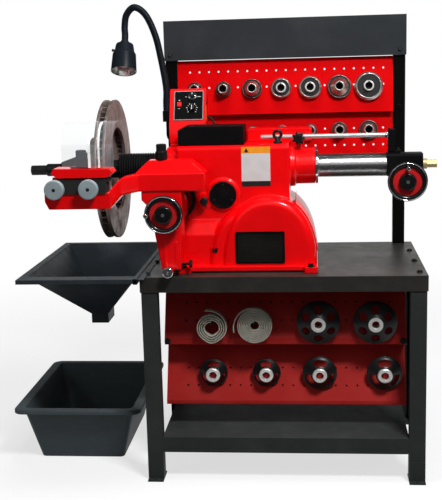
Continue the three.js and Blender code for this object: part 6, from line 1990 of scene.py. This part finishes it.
@dataclass
class Controls(Assembly):
    """The control box with its black face, knobs, dial, rocker and amber strip."""

    face_y: float = -20
    knee: float = 1148
    lean: float = 56
    rise: float = 118
    plate_x: Pair = (-366.5, -266)
    plate_up: Pair = (17, 123)
    plate_h: Pair = (0.3, 2.3)
    speed: Pair = (-304, 104)
    dial: Pair = (-305, 59)
    rocker: Pair = (-348, 74)
    ticks: int = 11

    def on_face(self, skin: Skin, at: Pair = (0, 0)) -> Skin:
        """A skin made with X across, Y up the face and Z out of it, put at a place on the leaning face."""
        return skin.moved((*at, 0)).turned(leaning(self.lean, self.rise)).moved((0, self.face_y, self.knee))

    def face(self) -> None:
        """The black plate with its grey border line."""
        base, top = self.plate_h
        within = partial(drawn_in, self.plate_x, self.plate_up)
        plate = extruded(Axis.Z, rounded_rectangle(*within(0), 3), (base, top))
        self.add("face_plate", self.on_face(plate), FACE_BLACK, node="control_face", edge=Edge.CUT)
        outer, inner = rounded_rectangle(*within(0.4), 2.8), rounded_rectangle(*within(3), 1.6)
        rings = [(outer, top - 0.3), (outer, top + 0.15), (inner, top + 0.15), (inner, top - 0.3)]
        border = Skin.grid(np.stack([laid(Axis.Z, h, *o.T) for o, h in rings]), wrap_rows=True, wrap_columns=True)
        self.add("face_border", self.on_face(border), BORDER_GREY)

    def marks(self) -> None:
        """Plain white ticks round the dial, longer at every other one, and dashes by the knob and the rocker."""
        top = (self.plate_h[1], self.plate_h[1] + 0.15)
        bars = []
        for i in range(self.ticks):
            angle = math.radians(225 - i * 270 / (self.ticks - 1))
            tick = boxed((15, 17.5 if i % 2 else 20), (-0.6, 0.6), top).turned(turn(Axis.Z, angle))
            bars.append(tick.moved((*self.dial, 0)))
        bars += [boxed(x, (100.2, 101.8), top) for x in ((-329, -323), (-287, -276))]
        bars += [boxed((self.rocker[0] - 2.5, self.rocker[0] + 2.5), (v - 0.7, v + 0.7), top) for v in (89, 59)]
        self.add("face_marks", self.on_face(Skin.joined(*bars)), WHITE)

    def knobs(self) -> None:
        """The speed knob with its chromed skirt, and the feed dial, each with a white pointer."""
        top, flutes = self.plate_h[1] + 0.3, fluted(96, 16, 0.03)
        speed, dial = "speed_knob_body", "feed_dial_body"
        skirt = [(-12, 0), (-12, 3), (top, 3), (top, 15), (top + 2, 15), (top + 4.2, 10), (top + 4.2, 0)]
        skirt = lathed(skirt, 96, 0.6)
        cap = [(top + 3.5, 0), (top + 3.5, 10.6), (top + 12.5, 9.8), (top + 14, 8), (top + 13.7, 0)]
        mark = boxed((-1, 1), (1, 8), (top + 13.4, top + 13.95))
        self.add("speed_skirt", self.on_face(skirt, self.speed), CHROME, speed, "speed_knob")
        self.add("speed_cap", self.on_face(lathed(cap, 96, 0.8, wave=flutes), self.speed), GLOSS_BLACK, speed)
        self.add("speed_pointer", self.on_face(mark, self.speed), WHITE, speed)
        cap = [(-12, 0), (-12, 3), (top, 3), (top, 11), (top + 9.5, 9.6), (top + 12, 7.5), (top + 11.8, 0)]
        fin = boxed((-1.6, 1.6), (-8, 13.5), (top + 0.2, top + 6))
        line = boxed((-0.9, 0.9), (-7, 7.5), (top + 11.5, top + 12))
        knob = Skin.joined(lathed(cap, 96, 0.8, wave=flutes), fin)
        self.add("feed_dial_cap", self.on_face(knob, self.dial), GLOSS_BLACK, dial, "feed_dial")
        self.add("feed_pointer", self.on_face(line, self.dial), WHITE, dial)

    def build(self) -> None:
        """Rounds the box, and adds what is on its face and side."""
        self.softened("control_box", RED, 2.5)
        self.face()
        self.marks()
        self.knobs()
        self.softened("rocker_switch", ROCKER_RED)
        self.add("amber_strip", boxed((-258.3, -257.7), (2, 16), (1160, 1208)), AMBER, edge=0.1)
        self.screw("box_screw", Axis.X, (-258, 30, 1218), 1, 5.5, 2)


@dataclass
class Lamp(Assembly):
    """The lamp's clamp, its ribbed gooseneck, and its head with bulb and reflector."""

    route: tuple[Spot, ...] = (
        (-393, 15, 1196.3), (-393, 15, 1222), (-392, 15, 1278), (-406, 13, 1372), (-422, 10, 1448), (-451, 6, 1514),
        (-488, 8, 1539.6), (-517, 16, 1516), (-525, 18, 1478), (-524, 13.3, 1450.9), (-524, 4.1, 1430.3),
    )
    radius: float = 11.5
    rib: float = 4.6
    tilt: float = 0.42

    def on_head(self, name: str, skin: Skin, finish: Finish, **how: Any) -> None:
        """Adds a skin made with Z along the lamp's axis, put at the gooseneck's end."""
        self.add(name, skin.turned(turn(Axis.X, -self.tilt)).moved(self.route[-1]), finish, **how)

    def build(self) -> None:
        """Sweeps the gooseneck and turns the head about its axis."""
        self.softened("lamp_clamp", COVER_BLACK, Edge.PRESSED)
        path = smooth_route(self.route, 620)
        ripple = self.radius * (0.975 + 0.025 * np.cos(run_along(path) / self.rib * 2 * np.pi))
        hose = swept(circle(1, 32)[None] * ripple[:, None, None], path)
        self.add("gooseneck_hose", hose, SHADE, node="gooseneck", smooth=60)
        self.on_head("lamp_shell", lathed([
            (-0.3, 0), (-0.3, 14), (-9.3, 14), (-13.3, 29), (-40.3, 34), (-48.3, 39), (-108.3, 43), (-108.3, 40.6),
            (-50, 36.6), (-42, 31.6), (-16, 26.6), (-16, 0),
        ], 128, 1.8), SHADE, node="lamp_head")
        self.on_head("lamp_lining", lathed([
            (-107, 40.2), (-50.6, 36.2), (-42.6, 31.2), (-17, 26.2), (-17, 0), (-17.4, 0), (-18, 25.6), (-43, 30.4),
            (-51, 35.4), (-107, 39.6), (-107, 40.2),
        ], 96, 0.3, 2), REFLECTOR)
        self.on_head("lamp_socket", lathed([(-17, 0), (-17, 15), (-44, 14), (-44, 0)], 48, 1.5), OXIDE)
        swell = np.linspace(0, np.pi, 25)
        bulb = np.stack([-70 - 24 * np.cos(swell), 23 * np.sin(swell) ** 0.9], axis=1)[::-1]
        self.on_head("lamp_bulb", lathed(bulb, 64), BULB)
        nub = [(-26, 0), (-26, 3), (-37, 3), (-37, 5), (-42, 4.6), (-43, 3), (-43, 0)]
        switch = revolved(Axis.X, nub, (0, -32), 48, 0.6)
        self.on_head("lamp_button", switch, GLOSS_BLACK, body="lamp_switch_body", node="lamp_switch")


@dataclass
class Cables(Assembly):
    """The lamp's and the control box's cables, on the routes of their CAD tubes."""

    diameter: float = 6.8
    lamp: tuple[Spot, ...] = (
        (-393, 15, 1158.7), (-393, 15, 1135), (-393, 15, 1114), (-391, 15, 1105), (-387, 15, 1101), (-381.4, 15, 1101),
    )
    control: tuple[Spot, ...] = (
        (-257.6, 22, 1171), (-251, 22, 1171), (-244, 22, 1168), (-236, 22, 1156), (-222, 22, 1132), (-214, 22, 1106),
        (-212, 22, 1089.4),
    )

    def build(self) -> None:
        for name, route in (("lamp_cable", self.lamp), ("control_cable", self.control)):
            path = smooth_route(route, 48)
            tube = self.add(name + "_sheath", swept(circle(self.diameter / 2, 24), path), CORD, node=name, smooth=60)


@dataclass
class Studio:
    """A pale floor, a plain world and soft lamps."""

    floor_size: float = 14
    floor_near: float = -0.95
    clear_near: float = 1.1
    clear_far: float = 3.2
    glow: float = 0.68
    diffuse_level: float = 0.16
    room_level: float = 0.05
    turn_white: Pair = (0.86, 0.97)
    turn_front: Pair = (-0.4, -0.6)
    turn_high: Pair = (0.1, 0.3)
    window_level: float = 0.6
    lamps: tuple[tuple[str, Spot, Spot, float, float, bool], ...] = (
        ("key", (1.3, -2, 3.5), (0.1, 0, 0.8), 0.8, 140, True),
        ("fill", (-2.6, -2.4, 2.3), (-0.2, 0, 0.8), 0.9, 9, False),
        ("top", (0.1, -0.2, 3.6), (0, 0, 0.6), 1.2, 60, False),
    )

    def world(self) -> None:
        """White to the camera, through glass and behind the object; reflections see a dark room and its soft light."""
        world = bpy.data.worlds.new("studio_world")
        world.use_nodes = True
        nodes, links = world.node_tree.nodes, world.node_tree.links
        rays = nodes.new("ShaderNodeLightPath")
        heading = nodes.new("ShaderNodeTexCoord")
        split = nodes.new("ShaderNodeSeparateXYZ")
        links.new(heading.outputs["Generated"], split.inputs[0])

        def ramp(axis: Axis, low: float, high: float) -> Socket:
            """A smooth step from 0 at one heading to 1 at another."""
            step = nodes.new("ShaderNodeMapRange")
            step.interpolation_type = "SMOOTHSTEP"
            step.inputs["From Min"].default_value, step.inputs["From Max"].default_value = low, high
            links.new(split.outputs[axis.value], step.inputs["Value"])
            return step.outputs[0]

        front = self.picked(nodes, links, ramp(Axis.Y, *self.turn_front), 0, ramp(Axis.Z, *self.turn_high))
        room = self.picked(nodes, links, front, self.room_level, self.window_level)
        room = self.picked(nodes, links, ramp(Axis.Y, *self.turn_white), room, 1)
        level = self.picked(nodes, links, rays.outputs["Is Glossy Ray"], self.diffuse_level, room)
        level = self.picked(nodes, links, rays.outputs["Is Transmission Ray"], level, 1)
        level = self.picked(nodes, links, rays.outputs["Is Camera Ray"], level, 1)
        back = nodes["Background"]
        back.inputs["Color"].default_value = (1, 1, 1, 1)
        links.new(level, back.inputs["Strength"])
        bpy.context.scene.world = world

    @staticmethod
    def picked(nodes: Any, links: Any, share: Any, low: Any, high: Any) -> Socket:
        """One of two levels, each a number or a link, by a share of 0 or 1."""
        mix = nodes.new("ShaderNodeMix")
        links.new(share, mix.inputs[0])
        for place, value in ((2, low), (3, high)):
            if isinstance(value, (int, float)):
                mix.inputs[place].default_value = value
            else:
                links.new(value, mix.inputs[place])
        return mix.outputs[0]

    def floor(self) -> Piece:
        """A square floor whose paint fades to plain white away from the object."""
        half = self.floor_size / 2 / MM
        near = self.floor_near / MM
        corners = [(-half, near), (half, near), (half, half), (-half, half)]
        flat = laid(Axis.Z, np.zeros(4), *np.array(corners).T)
        skin = Skin(flat, [np.arange(4)[None]], [np.array(corners)[None] * MM])
        piece = bpy.data.objects.new("studio_floor", skin.mesh("studio_floor"))
        bpy.context.scene.collection.objects.link(piece)
        tree = Tree("floor_paint")
        rays = tree.node("ShaderNodeLightPath")
        bounce = tree.blend(rays.outputs["Is Diffuse Ray"], (0.9, 0.9, 0.9), (0.3, 0.3, 0.3))
        tree.paint(Base_Color=bounce, Roughness=0.9, Specular_IOR_Level=0.1)
        seen = (Value(tree, rays.outputs["Is Camera Ray"]) + Value(tree, rays.outputs["Is Glossy Ray"])
                + Value(tree, rays.outputs["Is Transmission Ray"])).clamped()
        x, y, _ = tree.parts()
        away = ((x * x + y * y) ** 0.5 - self.clear_near) / (self.clear_far - self.clear_near)
        white = tree.node("ShaderNodeEmission", None, {"Color": (1, 1, 1), "Strength": 1})
        share = (away.clamped() * (1 - self.glow) + self.glow) * seen
        mix = tree.node("ShaderNodeMixShader", None, {0: share, 1: tree.shader.outputs[0], 2: white.outputs[0]})
        tree.links.new(mix.outputs[0], tree.nodes["Material Output"].inputs["Surface"])
        piece.data.materials.append(tree.material)
        return piece

    def light(self) -> None:
        """Adds the area lamps, each aimed at its target."""
        for name, place, target, size, power, mirrored in self.lamps:
            data = bpy.data.lights.new(name, "AREA")
            data.shape = "RECTANGLE"
            data.size = size
            data.size_y = size * 0.7
            data.energy = power
            lamp = bpy.data.objects.new(name, data)
            lamp.location = Vector(place)
            lamp.rotation_euler = (Vector(target) - Vector(place)).to_track_quat("-Z", "Y").to_euler()
            lamp.visible_glossy = mirrored
            bpy.context.scene.collection.objects.link(lamp)

    def build(self) -> None:
        """Sets the stage."""
        self.world()
        self.light()
        self.floor()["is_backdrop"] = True
        bpy.context.scene.view_settings.view_transform = "Standard"


@dataclass(frozen=True)
class View:
    """The photograph's camera, in bench millimetres and radians."""

    focal_px: float = 1009.36274
    width_px: float = 442
    place: Spot = (110.821726, -3405.1195, 1360.27687)
    yaw: float = 0.0966732545
    pitch: float = 0.186148909
    roll: float = -0.0274692819
    sensor: float = 36

    def build(self) -> Piece:
        """Adds the camera and makes it the scene's.

        It looks along (-sin yaw, cos yaw, 0) tipped down by the pitch, and is then rolled about that line.
        """
        ahead = np.array([-math.sin(self.yaw), math.cos(self.yaw), 0])
        right = np.array([math.cos(self.yaw), math.sin(self.yaw), 0])
        up = np.array([0, 0, 1])
        forward = ahead * math.cos(self.pitch) - up * math.sin(self.pitch)
        level = up * math.cos(self.pitch) + ahead * math.sin(self.pitch)
        aside = right * math.cos(self.roll) + level * math.sin(self.roll)
        upward = level * math.cos(self.roll) - right * math.sin(self.roll)
        data = bpy.data.cameras.new("photo_camera")
        data.sensor_fit = "HORIZONTAL"
        data.sensor_width = self.sensor
        data.lens = self.focal_px * self.sensor / self.width_px
        data.clip_end = 50
        camera = bpy.data.objects.new("photo_camera", data)
        matrix = Matrix(np.stack([aside, upward, -forward], axis=1).tolist()).to_4x4()
        matrix.translation = metres(np.array(self.place))
        camera.matrix_world = matrix
        bpy.context.scene.collection.objects.link(camera)
        bpy.context.scene.camera = camera
        return camera


def write_sizes() -> None:
    """Gathers the CAD's box and the dressed model's box as plain lists."""
    boxes = {"cad": [list(map(float, corner)) for corner in CAD_BOX],
             "model": [list(map(float, corner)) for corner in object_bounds()]}


def main() -> None:
    """Builds every sub-assembly in order, then the studio and the camera."""
    logging.basicConfig(level=logging.INFO, format="%(message)s")
    assemblies: list[Assembly] = [
        Bench(), BackFrame(), UpperBoard(), LowerBoard(), Hopper(), Tub(), Housing(), Trim(), Drive(), Spindle(),
        Boots(), Wheel(),
        Wheel(
            node="feed_handwheel", body="feed_wheel", grip_node="feed_grip",
            centre=(401, 962), face=-118, radius=64, rim=9, hub=28, hub_length=52, reach=36, inset=11,
            grip_circle=44, grip_angle=90,
        ),
        FeedHead(), CrossSlide(), Cutter(), Controls(), Lamp(), Cables(),
    ]
    for assembly in assemblies:
        assembly.build()
        for name in assembly.made:
            LOG.info("%s: %s", type(assembly).__name__, name)
    Studio().build()
    View().build()
    write_sizes()


if __name__ == "__main__":
    main()
